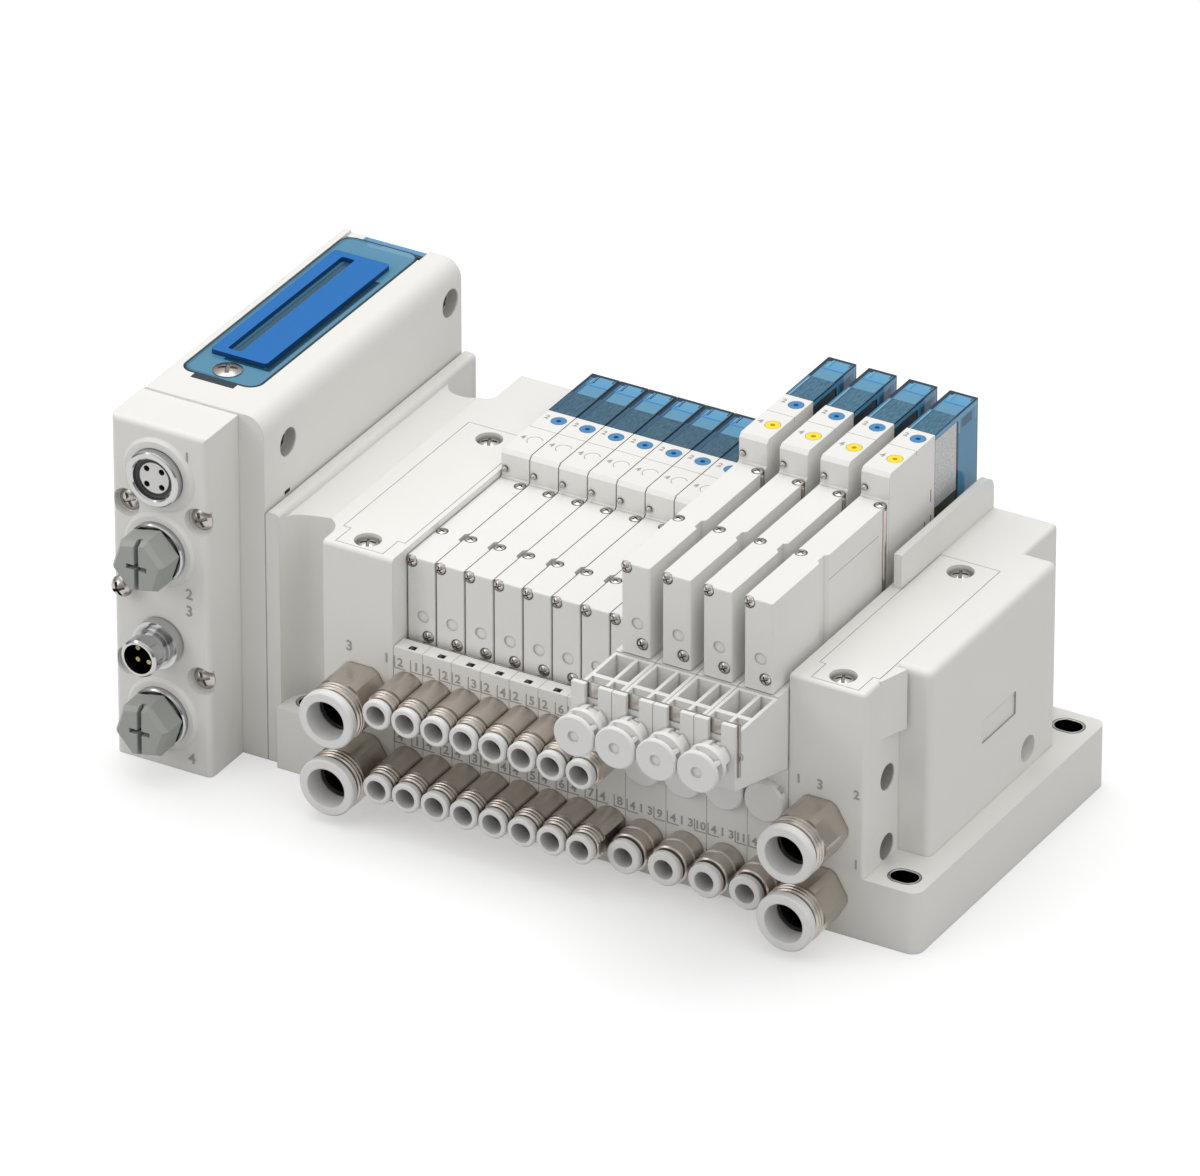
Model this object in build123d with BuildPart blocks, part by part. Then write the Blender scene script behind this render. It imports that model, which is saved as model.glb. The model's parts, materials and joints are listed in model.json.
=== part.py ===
from build123d import *
import os

os.makedirs("parts", exist_ok=True)

# Pneumatic valve island. All sizes in millimetres.
# X runs along the row of stations, Y from the tube ports to the rear, Z up.
# The origin is at the centre of the four mounting slots, on the floor.

# Row of stations
narrow_count = 8
narrow_pitch = 6.5
wide_count = 4
wide_pitch = 9.0
station_seam = 0.1          # gap between neighbouring base blocks

# Base and end blocks
left_end_length = 27.4
right_end_length = 28.6
base_depth = 76.5
foot_height = 13.6
deck_height = 54.4          # top of both end blocks
foot_corner = 2.5
deck_round = 1.0
slot_margin_x = 5.8         # slot centre from the end of the foot
slot_margin_y = 5.1
slot_length = 6.0
slot_width = 4.5

# Left end block
left_shoulder = 11.6        # length of the foot that shows left of the column
flange_thickness = 3.1      # plate against the electronics module
flange_rise = 1.6           # flange above the deck
flange_overhang = 2.5       # flange beyond the end of the foot
flange_set_back = 1.8       # front of flange and module behind the front plane
notch_front_centre = 3.3
notch_rear_depth = 12.0
notch_rear_round = 2.7
valley_depth = 0.75

# Right end block
right_shoulder = 12.0       # foot beyond the column
column_corner = 0.8
boss_reach = 7.0            # side box beyond the column
boss_front = 13.6
boss_rear = 64.2
boss_corner = 1.5
rib_reach = 2.1
rib_front = 6.0
rib_bottom = 41.4
rib_end_gap = 0.75          # between the rib's thick end and the box
guard_inset = 1.0
guard_thickness = 1.7
guard_front = 39.3
guard_rise = 7.4            # guard above the deck
guard_round = 3.0
side_hole_radius = 2.75
side_hole_depth = 3.0
side_screw_y = 9.1
side_screw_heights = (31.9, 16.4)
plain_hole_y = 53.0
plain_hole_z = 18.0
plaque_length = 13.5
plaque_height = 5.1
plaque_y = 41.0
plaque_z = 31.0
plaque_depth = 0.4

# End covers, let in flush with the deck
cover_thickness = 2.2
cover_seam = 0.12
cover_front = 7.0
cover_rear = 54.9
cover_tab_front = 1.25
left_cover_width = 13.8
left_tab_width = 10.5
left_cover_margin = 1.35    # cover edge from the station side of the block
right_cover_width = 13.0
right_tab_width = 10.2
right_cover_margin = 2.8
cover_screw_front = 4.5
cover_screw_rear = 51.0
cover_screw_sink_radius = 2.75
cover_screw_sink_depth = 1.3

# Base blocks
base_clearance = 0.8        # underside above the floor
ledge_height = 35.2
ledge_depth = 3.8
valve_seat = 33.0
base_block_overhang = 0.4   # base blocks beyond the rear of the end blocks
ledge_hole_length = 1.6
ledge_hole_width = 1.4
ledge_hole_depth = 1.5

# Valves
valve_side_gap = 0.2
tall_valve_width = 6.2
narrow_valve_front = 5.25   # front face behind the front plane
tall_valve_front = -4.0
valve_height = 20.0
pilot_height = 6.1
pilot_front = 41.5
pilot_rear = 59.7
pilot_bevel = 0.8
pilot_foot = 0.4            # small step out where the housing meets the valve's top
pilot_joint = 0.05          # joint between the valve body and the pilot housing
rear_cover_front = 59.8
valve_overhang = 0.5        # rear covers beyond the rear of the end blocks
coil_seat = 7.2             # underside of the rear cover above the valve's seat
valve_edge = 0.35
front_screw_upper = (-2.15, 1.0)   # from the valve's middle, below its top edge
front_screw_lower = (1.5, 3.0)     # from the valve's middle, above its seat
tie_screw_front_narrow = 16.8
tie_screw_front_tall = 16.0
tie_screw_rear = 39.8
tie_screw_inset = 1.05      # screw centre from the side of the valve
tie_notch_clearance = 0.2
tie_notch_depth = 1.5
tie_screw_drop = 0.2        # head below the valve's top
tie_shank_clearance = 0.15
side_groove_length = 2.4    # groove down the right side, across from the front tie screw
side_groove_depth = 0.8
side_groove_slope = 0.7
dimple_radius = 1.3
dimple_offset = 0.4
dimple_height = 7.2
dimple_depth = 0.3
ball_offset = -2.25
ball_height = 2.0
ball_radius = 0.65
ball_depth = 1.5

# Rear covers and coils
rear_wall = 0.5
rear_top_wall = 1.1
rear_side_start = 68.5      # the side walls begin here
coil_gap = 0.12

# Manual override buttons
button_offset = 0.93        # right of the valve's middle
button_a_y = 56.8
button_b_y = 47.6
button_radius = 1.55
button_clearance = 0.07
button_height = 2.4
button_travel = 0.8
button_rest_gap = 0.2
button_dimple_radius = 0.5
button_dimple_depth = 0.4

# Spacers with front ports, under the tall valves
spacer_height = 18.3
spacer_side_gap = 0.1
spacer_front = -21.0
spacer_front_bottom = 39.0
spacer_toe_bottom = 33.6
spacer_clearance = 0.1      # from the base blocks
spacer_port_height = 45.45
spacer_bore_radius = 3.0
spacer_bore_depth = 10.0
spacer_shelf_drop = 0.3     # port block top below the valve's seat
spacer_post_height = 2.1    # front posts above the port block
spacer_post_depth = 1.1
spacer_post_gap = 2.9       # between the two front posts of a spacer
spacer_pocket_wall = 0.8
spacer_front_pocket = 4.2
spacer_front_pocket_depth = 2.6
spacer_pocket_bridge = 1.2
spacer_rear_pocket = 8.0
spacer_rear_pocket_depth = 5.0
spacer_left_pocket = 4.0    # width of the left pockets, the right ones take the rest
spacer_rib = 0.8
clip_slot_width = 0.8       # slot across the posts for the steel clip
clip_slot_depth = 1.2
clip_slot_wall = 0.7        # wall between the slot and the front pockets

# Tube ports
small_bore_radius = 2.1     # for 4 mm tube
large_bore_radius = 4.2     # for 8 mm tube
upper_row = 26.7
lower_row = 9.95
wide_row = 8.8
large_rows = (23.3, 8.2)
left_large_port_x = 7.2     # from the station side of the left block
right_large_port_x = 6.9    # from the station side of the right block
shank_radius = 2.6
large_shank_radius = 5.0
shank_depth = 4.0
socket_clearance = 0.05
socket_end_gap = 0.2

small_body_radius = 3.65
small_flat_width = 6.3
small_body_length = 10.4
small_collar_radius = 3.15
small_collar_head = 1.3
small_collar_gap = 0.7
wide_body_radius = 4.1
wide_body_length = 6.9
wide_collar_radius = 3.65
large_body_radius = 6.3
large_flat_width = 11.6
large_body_length = 11.2
large_collar_radius = 6.15
large_collar_head = 1.8
large_collar_gap = 1.0
collar_wall = 0.55
large_collar_wall = 0.75
collar_clearance = 0.08
collar_depth = 2.2          # stem inside the body
collar_stem_gap = 1.0       # free depth behind the stem
port_stop = 0.6             # tube stop in front of the base block
body_front_band = 2.6       # slimmer ribbed band at the front of a long body
body_front_step = 0.3
body_rib = 0.2              # ribs stand out of the band, short of the body
body_rib_width = 0.5
body_rib_gap = 0.45
body_chamfer = 0.3
ring_height = 0.15          # raised ring round a short body
ring_width = 0.5
ring_place = 3.4            # from the base block

# Plugs
blank_row = 25.5
blank_radius = 4.35
blank_thickness = 1.8
blank_slot_width = 1.4      # two slots in the rim for a pulling tool
blank_slot_depth = 0.7
plug_radius = 4.4
plug_face = 27.95           # front of the plug from the front plane
plug_disc = 0.9
plug_waist_radius = 2.6
plug_waist = 2.0
plug_rear_radius = 4.25
plug_rear_disc = 1.3
plug_hub_radius = 3.6       # windowed hub between the rear disc and the port block
plug_hub_window = 2.2
plug_fin_thickness = 0.8
plug_fins = 4
plug_core_depth = 7.0
plug_dimple_radius = 1.2
plug_dimple_depth = 0.5

# Electronics module
module_length = 27.5
module_overhang = 0.8       # case beyond the rear of the base
module_height = 76.2
module_round = 4.0
module_edge = 1.2
module_gap = 0.15           # to the flange
front_block_length = 21.8
front_block_depth = 11.9
front_block_drop = 0.4      # its top below the case's top
front_block_round = 1.2
pocket_radius = 3.0
pocket_inset = 2.2          # pocket centre from the block's side
left_pocket_inset = 3.3
pocket_depth = 1.8
pocket_heights = (57.0, 21.4)
connector_x = 10.8          # connector axis from the module's left side
boss_ring_radius = 8.1      # low moulded ring under a connector, at its foot
boss_ring_height = 0.8
boss_ring_taper = 40.0
side_screw_front = (9.1, 9.2)      # behind the case's front, below its top
side_screw_rear = (4.3, 7.7)       # before the case's rear, below its top
module_hole_radius = 3.0
module_hole_depth = 2.5

# Window, hinged at the module's rear
window_left = 2.3           # from the module's left side
window_width = 17.6
window_front = 11.5
window_thickness = 1.3
window_clearance = 0.15
window_corner = 3.0
window_rim = 1.2
window_well = 6.0
window_tab_left = 6.2
window_tab_width = 9.5
window_tab_length = 1.7
hinge_left = 6.1
hinge_length = 14.1
hinge_radius = 1.1
hinge_inset = 1.15          # hinge axis in front of the case's rear
hinge_drop = 0.1            # barrel below the case's top
hinge_pin_radius = 0.5
hinge_pin_length = 0.8
hinge_pin_clearance = 0.05
swing_gap = 0.4             # behind the window's rear edge, beside the barrel
swing_step = 0.5            # and this far below the case's top behind that
label_left = 4.5
label_width = 12.8
label_front_margin = 8.3    # from the window's front edge
label_rear_margin = 7.9
label_height = 1.0
label_slot_left = 2.8
label_slot_width = 3.0
label_slot_margin = 1.9
window_screw_x = 11.1
window_screw_y = 15.5
window_screw_radius = 3.0
window_screw_head = 0.8
window_screw_shank = 1.4
window_screw_length = 2.6

# Connectors on the module's front, heights of their axes
socket_z = 65.2
cap_zs = (48.6, 11.6)
pin_plug_z = 28.2
shell_radius = 5.95
shell_length = 1.9
shell_bore = 4.4
insert_clearance = 0.05
contact_circle = 2.4
contact_hole_radius = 0.6
contact_hole_depth = 1.5
cap_ring_radius = 6.3       # plated ring under each cap
cap_ring_length = 1.3
cap_neck_radius = 5.2       # dark gap between ring and cap
cap_neck_length = 0.5
cap_hex_radius = 6.2
cap_hex_length = 5.0
cap_nose_radius = 5.3
cap_nose_length = 1.2
cap_slot_length = 12.6
cap_slot_width = 1.0
cap_slot_depth = 2.2
cap_cross_length = 4.6
cap_turn = 12.0
pin_flange_radius = 5.1
pin_flange_length = 2.6
pin_thread_radius = 4.0
pin_thread_length = 4.2
pin_neck_radius = 3.5
pin_tip_radius = 4.0
pin_tip_length = 2.0
pin_cavity_radius = 3.1
pin_cavity_depth = 6.0
pin_radius = 0.5
pin_reach = 4.0

# Screws: head radius, head height, shank radius, shank length
valve_screw = (1.2, 0.9, 0.6, 3.0)
tie_screw = (1.1, 0.8, 0.55, 16.0)
cover_screw = (2.4, 1.0, 1.2, 3.0)
side_screw = (2.4, 1.0, 1.2, 3.0)
module_screw = (2.4, 1.0, 1.2, 3.0)
ground_screw = (2.3, 2.2, 1.3, 6.0)
screw_clearance = 0.1
head_sink = 0.4             # valve screws: head let into the valve
ground_screw_x = 3.3
ground_screw_z = 39.3
ground_screw_washer = 1.8   # stand-off under the head
recess_turn = 25.0          # how far the cross recesses are turned, in degrees

# Places that follow from the sizes above
flange_height = deck_height + flange_rise
guard_height = deck_height + guard_rise
module_rear = base_depth + module_overhang
base_block_rear = base_depth + base_block_overhang
spacer_rear = base_block_rear
valve_rear = base_depth + valve_overhang
front_block_height = module_height - front_block_drop
hinge_y = module_rear - hinge_inset
window_rear = hinge_y - hinge_radius
label_front = window_front + label_front_margin
label_rear = window_rear - label_rear_margin
bank_length = narrow_count * narrow_pitch + wide_count * wide_pitch
base_length = left_end_length + bank_length + right_end_length
base_left = -base_length / 2
base_right = base_length / 2
bank_left = base_left + left_end_length
bank_right = base_right - right_end_length
front = -base_depth / 2
rear = base_depth / 2
slot_spacing_x = base_length - 2 * slot_margin_x
slot_spacing_y = base_depth - 2 * slot_margin_y
wide_left = bank_left + narrow_count * narrow_pitch
narrow_x = [bank_left + narrow_pitch * (i + 0.5) for i in range(narrow_count)]
wide_x = [wide_left + wide_pitch * (i + 0.5) for i in range(wide_count)]
narrow_valve_width = narrow_pitch - valve_side_gap
tall_seat = valve_seat + spacer_height
module_right = base_left - flange_overhang - module_gap
module_left = module_right - module_length
front_block_front = front + flange_set_back - front_block_depth
large_port_x = (bank_left - left_large_port_x, bank_right + right_large_port_x)
socket_depth = shank_depth + socket_end_gap


def bar(x, y, z, mode=Mode.ADD):
    """A straight block between two limits on each axis."""
    with Locations((x[0], y[0], z[0])):
        Box(x[1] - x[0], y[1] - y[0], z[1] - z[0], align=(Align.MIN,) * 3, mode=mode)


def bore(x, y, z, radius, depth, axis="y"):
    """A round hole cut from a face along +Y, -Z or -X."""
    turn = {"y": (90, 0, 0), "z": (0, 0, 0), "x": (0, 90, 0)}[axis]
    with Locations(Location((x, y, z), turn)):
        Cylinder(radius, depth, align=(Align.CENTER, Align.CENTER, Align.MAX), mode=Mode.SUBTRACT)


def screw(size, axis="y"):
    """Pan-head screw with a cross recess, its head's underside at the origin."""
    head_radius, head_height, shank, length = size
    crown = head_height * 0.75
    with BuildPart() as made:
        with BuildSketch(Plane.XZ):
            with BuildLine():
                Line((0, -length), (shank, -length))
                Line((shank, -length), (shank, 0))
                Line((shank, 0), (head_radius, 0))
                Line((head_radius, 0), (head_radius, head_height - crown))
                RadiusArc(
                    (head_radius, head_height - crown), (0, head_height),
                    -(head_radius ** 2 + crown ** 2) / (2 * crown),
                )
                Line((0, head_height), (0, -length))
            make_face()
        revolve(axis=Axis.Z)
        with Locations((0, 0, head_height)):
            Box(head_radius * 1.3, head_radius * 0.28, head_height * 1.1, mode=Mode.SUBTRACT)
            Box(head_radius * 0.28, head_radius * 1.3, head_height * 1.1, mode=Mode.SUBTRACT)
    turn = {"y": (90, 0, 0), "z": (0, 0, 0), "x": (0, 90, 0)}[axis]
    return made.part.rotate(Axis.Z, recess_turn).moved(Location((0, 0, 0), turn))


def cover_outline(x_middle, width, tab_width, clearance):
    """Outline of an end cover: a long rectangle with a narrower front tab."""
    with BuildSketch(Plane.XY.offset(deck_height - cover_thickness)) as outline:
        with Locations((x_middle, front + (cover_front + cover_rear) / 2)):
            Rectangle(width, cover_rear - cover_front)
        with Locations((x_middle, front + (cover_tab_front + cover_front) / 2)):
            Rectangle(tab_width, cover_front - cover_tab_front + 0.01)
        if clearance:
            offset(amount=clearance, kind=Kind.INTERSECTION)
    return outline.sketch


left_cover_x = bank_left - left_cover_margin - left_cover_width / 2
right_cover_x = bank_right + right_cover_margin + right_cover_width / 2
cover_screw_y = (front + cover_screw_front, front + cover_screw_rear)

# Left end block: foot, column and the flange that carries the module
column_left = base_left + left_shoulder
notch_right = column_left
notch_radius = (notch_right - (base_left + flange_thickness - flange_overhang)) / 2
with BuildPart() as end_block_left:
    with BuildSketch(Plane.XZ.offset(-rear)):
        with BuildLine():
            flange_face = base_left + flange_thickness - flange_overhang
            Line((flange_face, 0), (bank_left - station_seam, 0))
            Line((bank_left - station_seam, 0), (bank_left - station_seam, deck_height))
            Line((bank_left - station_seam, deck_height), (column_left - 3, deck_height))
            ThreePointArc(
                (column_left - 3, deck_height),
                (flange_face + 3.2, deck_height - valley_depth),
                (flange_face, deck_height),
            )
            Line((flange_face, deck_height), (flange_face, 0))
        make_face()
    extrude(amount=base_depth)
    fillet(
        end_block_left.edges().filter_by(Axis.X).group_by(Axis.Z)[-1].sort_by(Axis.Y)[0:1],
        radius=deck_round,
    )
    with BuildSketch(Plane.XY.offset(foot_height)):
        with Locations((notch_right - notch_radius, front + notch_front_centre)):
            Circle(notch_radius)
        with Locations((notch_right - notch_radius, front + notch_front_centre - 6)):
            Rectangle(2 * notch_radius, 12)
        with Locations((notch_right - notch_radius, rear - notch_rear_depth / 2 + 1)):
            RectangleRounded(2 * notch_radius, notch_rear_depth + 2, notch_rear_round)
    extrude(amount=flange_height, mode=Mode.SUBTRACT)
    with BuildSketch(Plane.YZ.offset(base_left - flange_overhang)):
        with Locations((front + (flange_set_back + module_rear) / 2, flange_height / 2)):
            Rectangle(module_rear - flange_set_back, flange_height)
    extrude(amount=flange_thickness)
    fillet(
        end_block_left.edges().filter_by(Axis.Y).group_by(Axis.Z)[-1],
        radius=deck_round,
    )
    add(cover_outline(left_cover_x, left_cover_width, left_tab_width, cover_seam))
    extrude(amount=cover_thickness + 1, mode=Mode.SUBTRACT)
    with BuildSketch(Plane.XY):
        with Locations((-slot_spacing_x / 2, -slot_spacing_y / 2), (-slot_spacing_x / 2, slot_spacing_y / 2)):
            SlotOverall(slot_length, slot_width)
    extrude(amount=foot_height, mode=Mode.SUBTRACT)
    for row in large_rows:
        bore(large_port_x[0], front, row, large_shank_radius + socket_clearance, socket_depth)
    for place in cover_screw_y:
        bore(left_cover_x, place, deck_height - cover_thickness, cover_screw[2] + screw_clearance, 4, "z")
end_block_left.part.label = "end_block_left"
export_step(end_block_left.part, "parts/end_block_left.step")

# Right end block: foot, column, side box, guard wall behind the valves
block_left = bank_right + station_seam
column_right = base_right - right_shoulder
boss_right = column_right + boss_reach
guard_left = bank_right + guard_inset
rib_end = front + boss_front - rib_end_gap
with BuildPart() as column:
    bar((block_left, column_right), (front, rear), (0, deck_height))
    column_edges = column.edges()
    fillet(
        column_edges.filter_by(Axis.Z).group_by(Axis.X)[-1].sort_by(Axis.Y)[0:1]
        + column_edges.filter_by(Axis.X).group_by(Axis.Z)[-1].sort_by(Axis.Y)[0:1]
        + column_edges.filter_by(Axis.Y).group_by(Axis.Z)[-1].sort_by(Axis.X)[-1:],
        radius=column_corner,
    )
with BuildPart() as side_box:
    bar((block_left, boss_right), (front + boss_front, front + boss_rear), (0, deck_height))
    box_edges = side_box.edges()
    fillet(
        box_edges.filter_by(Axis.Z).group_by(Axis.X)[-1]
        + box_edges.filter_by(Axis.X).group_by(Axis.Z)[-1]
        + box_edges.filter_by(Axis.Y).group_by(Axis.Z)[-1].sort_by(Axis.X)[-1:],
        radius=boss_corner,
    )
with BuildPart() as end_block_right:
    with BuildSketch(Plane.XY) as foot:
        with Locations(((block_left + base_right) / 2, 0)):
            Rectangle(base_right - block_left, base_depth)
        fillet(foot.vertices().group_by(Axis.X)[-1], radius=foot_corner)
    extrude(amount=foot_height)
    add(column.part)
    add(side_box.part)
    with BuildSketch(Plane.XY.offset(rib_bottom)):
        with BuildLine():
            Polyline(
                (column_right - 0.5, front + rib_front),
                (column_right, front + rib_front),
                (column_right + rib_reach, rib_end),
                (column_right - 0.5, rib_end),
                close=True,
            )
        make_face()
    extrude(amount=deck_height - rib_bottom)
    with BuildSketch(Plane.YZ.offset(guard_left)) as guard:
        with Locations((rear - (base_depth - guard_front) / 2, (deck_height + guard_height) / 2 - 2)):
            Rectangle(base_depth - guard_front, guard_height - deck_height + 4)
        fillet(guard.vertices().group_by(Axis.Y)[-1].sort_by(Axis.Z)[-1], radius=guard_round)
    extrude(amount=guard_thickness)
    add(cover_outline(right_cover_x, right_cover_width, right_tab_width, cover_seam))
    extrude(amount=cover_thickness + 1, mode=Mode.SUBTRACT)
    with BuildSketch(Plane.XY):
        with Locations((slot_spacing_x / 2, -slot_spacing_y / 2), (slot_spacing_x / 2, slot_spacing_y / 2)):
            SlotOverall(slot_length, slot_width)
    extrude(amount=foot_height, mode=Mode.SUBTRACT)
    for row in large_rows:
        bore(large_port_x[1], front, row, large_shank_radius + socket_clearance, socket_depth)
    for place in cover_screw_y:
        bore(right_cover_x, place, deck_height - cover_thickness, cover_screw[2] + screw_clearance, 4, "z")
    for height in side_screw_heights:
        bore(column_right, front + side_screw_y, height, side_hole_radius, side_hole_depth, "x")
        bore(
            column_right - side_hole_depth, front + side_screw_y, height,
            side_screw[2] + screw_clearance, side_screw[3] + 0.5, "x",
        )
    bore(boss_right, front + plain_hole_y, plain_hole_z, side_hole_radius, boss_reach - 1, "x")
    with BuildSketch(Plane.YZ.offset(boss_right - plaque_depth)):
        with Locations((front + plaque_y, plaque_z)):
            Rectangle(plaque_length, plaque_height)
    extrude(amount=plaque_depth + 1, mode=Mode.SUBTRACT)
end_block_right.part.label = "end_block_right"
export_step(end_block_right.part, "parts/end_block_right.step")

# End covers, each with two countersunk screw seats
with BuildPart() as end_covers:
    add(cover_outline(left_cover_x, left_cover_width, left_tab_width, 0))
    add(cover_outline(right_cover_x, right_cover_width, right_tab_width, 0))
    extrude(amount=cover_thickness)
    for middle in (left_cover_x, right_cover_x):
        for place in cover_screw_y:
            bore(middle, place, deck_height, cover_screw_sink_radius, cover_screw_sink_depth, "z")
            bore(middle, place, deck_height, cover_screw[2] + screw_clearance, cover_thickness, "z")
end_covers.part.label = "end_covers"
export_step(end_covers.part, "parts/end_covers.step")


def base_block(width, sockets, has_ledge_hole):
    """One station of the base, with its front ledge and the sockets of its ports."""
    with BuildPart() as made:
        with BuildSketch(Plane.YZ):
            with BuildLine():
                Polyline(
                    (front, base_clearance),
                    (front, ledge_height),
                    (front + ledge_depth, ledge_height),
                    (front + ledge_depth, valve_seat),
                    (front + base_block_rear, valve_seat),
                    (front + base_block_rear, base_clearance),
                    close=True,
                )
            make_face()
        extrude(amount=width / 2, both=True)
        for height in sockets:
            bore(0, front, height, shank_radius + socket_clearance, socket_depth)
        if has_ledge_hole:
            with Locations((0.4, front + 1.3, ledge_height)):
                Box(
                    ledge_hole_length, ledge_hole_width, ledge_hole_depth * 2,
                    mode=Mode.SUBTRACT,
                )
    return made.part


narrow_block = base_block(narrow_pitch - station_seam, (upper_row, lower_row), True)
wide_block = base_block(wide_pitch - station_seam, (blank_row, wide_row), False)
with BuildPart() as manifold_blocks:
    with Locations([(x, 0, 0) for x in narrow_x]):
        add(narrow_block)
    with Locations([(x, 0, 0) for x in wide_x]):
        add(wide_block)
manifold_blocks.part.label = "manifold_blocks"
export_step(manifold_blocks.part, "parts/manifold_blocks.step")


def valve(width, front_y, tie_front):
    """Valve body on its seat, with screw seats in front and notches for the tie screws."""
    upper_x, upper_z = front_screw_upper
    lower_x, lower_z = front_screw_lower
    side = width / 2
    body_rear = pilot_front - pilot_joint
    with BuildPart() as made:
        with BuildSketch(Plane.YZ):
            with Locations((front + (front_y + body_rear) / 2, valve_height / 2)):
                Rectangle(body_rear - front_y, valve_height)
        extrude(amount=side, both=True)
        fillet(made.edges().group_by(Axis.Y)[0], radius=valve_edge)
        for x, z in ((upper_x, valve_height - upper_z), (lower_x, lower_z)):
            bore(x, front + front_y, z, valve_screw[0] + screw_clearance, head_sink)
            bore(x, front + front_y, z, valve_screw[2] + screw_clearance, valve_screw[3] + 0.8)
        bore(dimple_offset, front + front_y, dimple_height, dimple_radius, dimple_depth)
        notch_radius = tie_screw[0] + tie_notch_clearance
        shank_radius_here = tie_screw[2] + tie_shank_clearance
        bore(tie_screw_inset - side, front + tie_front, valve_height, notch_radius, tie_notch_depth, "z")
        bore(tie_screw_inset - side, front + tie_front, valve_height, shank_radius_here, valve_height, "z")
        bore(side - tie_screw_inset, front + tie_screw_rear, valve_height, notch_radius, valve_height, "z")
        groove_y = front + tie_front
        half = side_groove_length / 2
        with BuildSketch(Plane.XY):
            with BuildLine():
                Polyline(
                    (side + 1, groove_y - half - side_groove_slope),
                    (side, groove_y - half - side_groove_slope),
                    (side - side_groove_depth, groove_y - half),
                    (side - side_groove_depth, groove_y + half),
                    (side, groove_y + half + side_groove_slope),
                    (side + 1, groove_y + half + side_groove_slope),
                    close=True,
                )
            make_face()
        extrude(amount=valve_height, mode=Mode.SUBTRACT)
    return made.part


def pilot(width, button_places):
    """Pilot housing behind the valve body: a bore for each button, a low seat for the coil."""
    top = valve_height + pilot_height
    step = coil_seat - rear_wall
    with BuildPart() as made:
        with BuildSketch(Plane.YZ):
            with BuildLine():
                Polyline(
                    (front + pilot_front, 0),
                    (front + pilot_front, valve_height),
                    (front + pilot_front - pilot_foot, valve_height),
                    (front + pilot_front, valve_height + pilot_foot),
                    (front + pilot_front, top - pilot_bevel),
                    (front + pilot_front + pilot_bevel, top),
                    (front + pilot_rear, top),
                    (front + pilot_rear, step),
                    (front + valve_rear, step),
                    (front + valve_rear, 0),
                    close=True,
                )
            make_face()
        extrude(amount=width / 2, both=True)
        depth = button_height + button_travel + button_rest_gap
        for y in button_places:
            bore(button_offset, front + y, top, button_radius + button_clearance, depth, "z")
        bore(ball_offset, front + pilot_front, valve_height + ball_height, ball_radius, ball_depth)
        bore(
            width / 2 - tie_screw_inset, front + tie_screw_rear, valve_height,
            tie_screw[0] + tie_notch_clearance, valve_height, "z",
        )
    return made.part


def rear_cover(width):
    """Clear cover over the coil: a top wall, a rear wall and short side walls."""
    top = valve_height + pilot_height
    with BuildPart() as made:
        bar(
            (-width / 2, width / 2), (front + rear_cover_front, front + valve_rear), (coil_seat, top)
        )
        bar(
            (-width / 2 + rear_wall, width / 2 - rear_wall),
            (front + rear_side_start - 1, front + valve_rear - rear_wall * 2),
            (coil_seat - 1, top - rear_top_wall),
            mode=Mode.SUBTRACT,
        )
        bar(
            (-width, width), (front + rear_cover_front - 1, front + rear_side_start),
            (coil_seat - 1, top - rear_top_wall),
            mode=Mode.SUBTRACT,
        )
    return made.part


def coil(width):
    """Coil under the clear cover: a wide front plate and a narrower rear bobbin."""
    top = valve_height + pilot_height - rear_top_wall - coil_gap
    with BuildPart() as made:
        bar(
            (-width / 2, width / 2), (front + rear_cover_front, front + rear_side_start - coil_gap),
            (coil_seat - rear_wall, top),
        )
        bar(
            (-width / 2 + rear_wall + coil_gap, width / 2 - rear_wall - coil_gap),
            (front + rear_side_start - 1, front + valve_rear - rear_wall * 2 - coil_gap),
            (coil_seat - rear_wall, top),
        )
    return made.part


narrow_set = [(x, 0, valve_seat) for x in narrow_x]
tall_set = [(x, 0, tall_seat) for x in wide_x]
narrow_buttons = (button_a_y,)
tall_buttons = (button_a_y, button_b_y)

narrow_body = valve(narrow_valve_width, narrow_valve_front, tie_screw_front_narrow)
tall_body = valve(tall_valve_width, tall_valve_front, tie_screw_front_tall)
with BuildPart() as valve_bodies:
    with Locations(narrow_set):
        add(narrow_body)
    with Locations(tall_set):
        add(tall_body)
valve_bodies.part.label = "valve_bodies"
export_step(valve_bodies.part, "parts/valve_bodies.step")

narrow_pilot = pilot(narrow_valve_width, narrow_buttons)
tall_pilot = pilot(tall_valve_width, tall_buttons)
with BuildPart() as pilot_housings:
    with Locations(narrow_set):
        add(narrow_pilot)
    with Locations(tall_set):
        add(tall_pilot)
pilot_housings.part.label = "pilot_housings"
export_step(pilot_housings.part, "parts/pilot_housings.step")

narrow_rear_cover = rear_cover(narrow_valve_width)
tall_rear_cover = rear_cover(tall_valve_width)
with BuildPart() as rear_covers:
    with Locations(narrow_set):
        add(narrow_rear_cover)
    with Locations(tall_set):
        add(tall_rear_cover)
rear_covers.part.label = "rear_covers"
export_step(rear_covers.part, "parts/rear_covers.step")

narrow_coil = coil(narrow_valve_width)
tall_coil = coil(tall_valve_width)
with BuildPart() as coils:
    with Locations(narrow_set):
        add(narrow_coil)
    with Locations(tall_set):
        add(tall_coil)
coils.part.label = "coils"
export_step(coils.part, "parts/coils.step")

# Manual override buttons, pressed down against a spring
with BuildPart() as button:
    with BuildSketch(Plane.XZ):
        with BuildLine():
            Polyline(
                (0, -button_height),
                (button_radius, -button_height),
                (button_radius, 0),
                (button_dimple_radius, 0),
                (button_dimple_radius, -button_dimple_depth),
                (0, -button_dimple_depth),
                close=True,
            )
        make_face()
    revolve(axis=Axis.Z)

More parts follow.
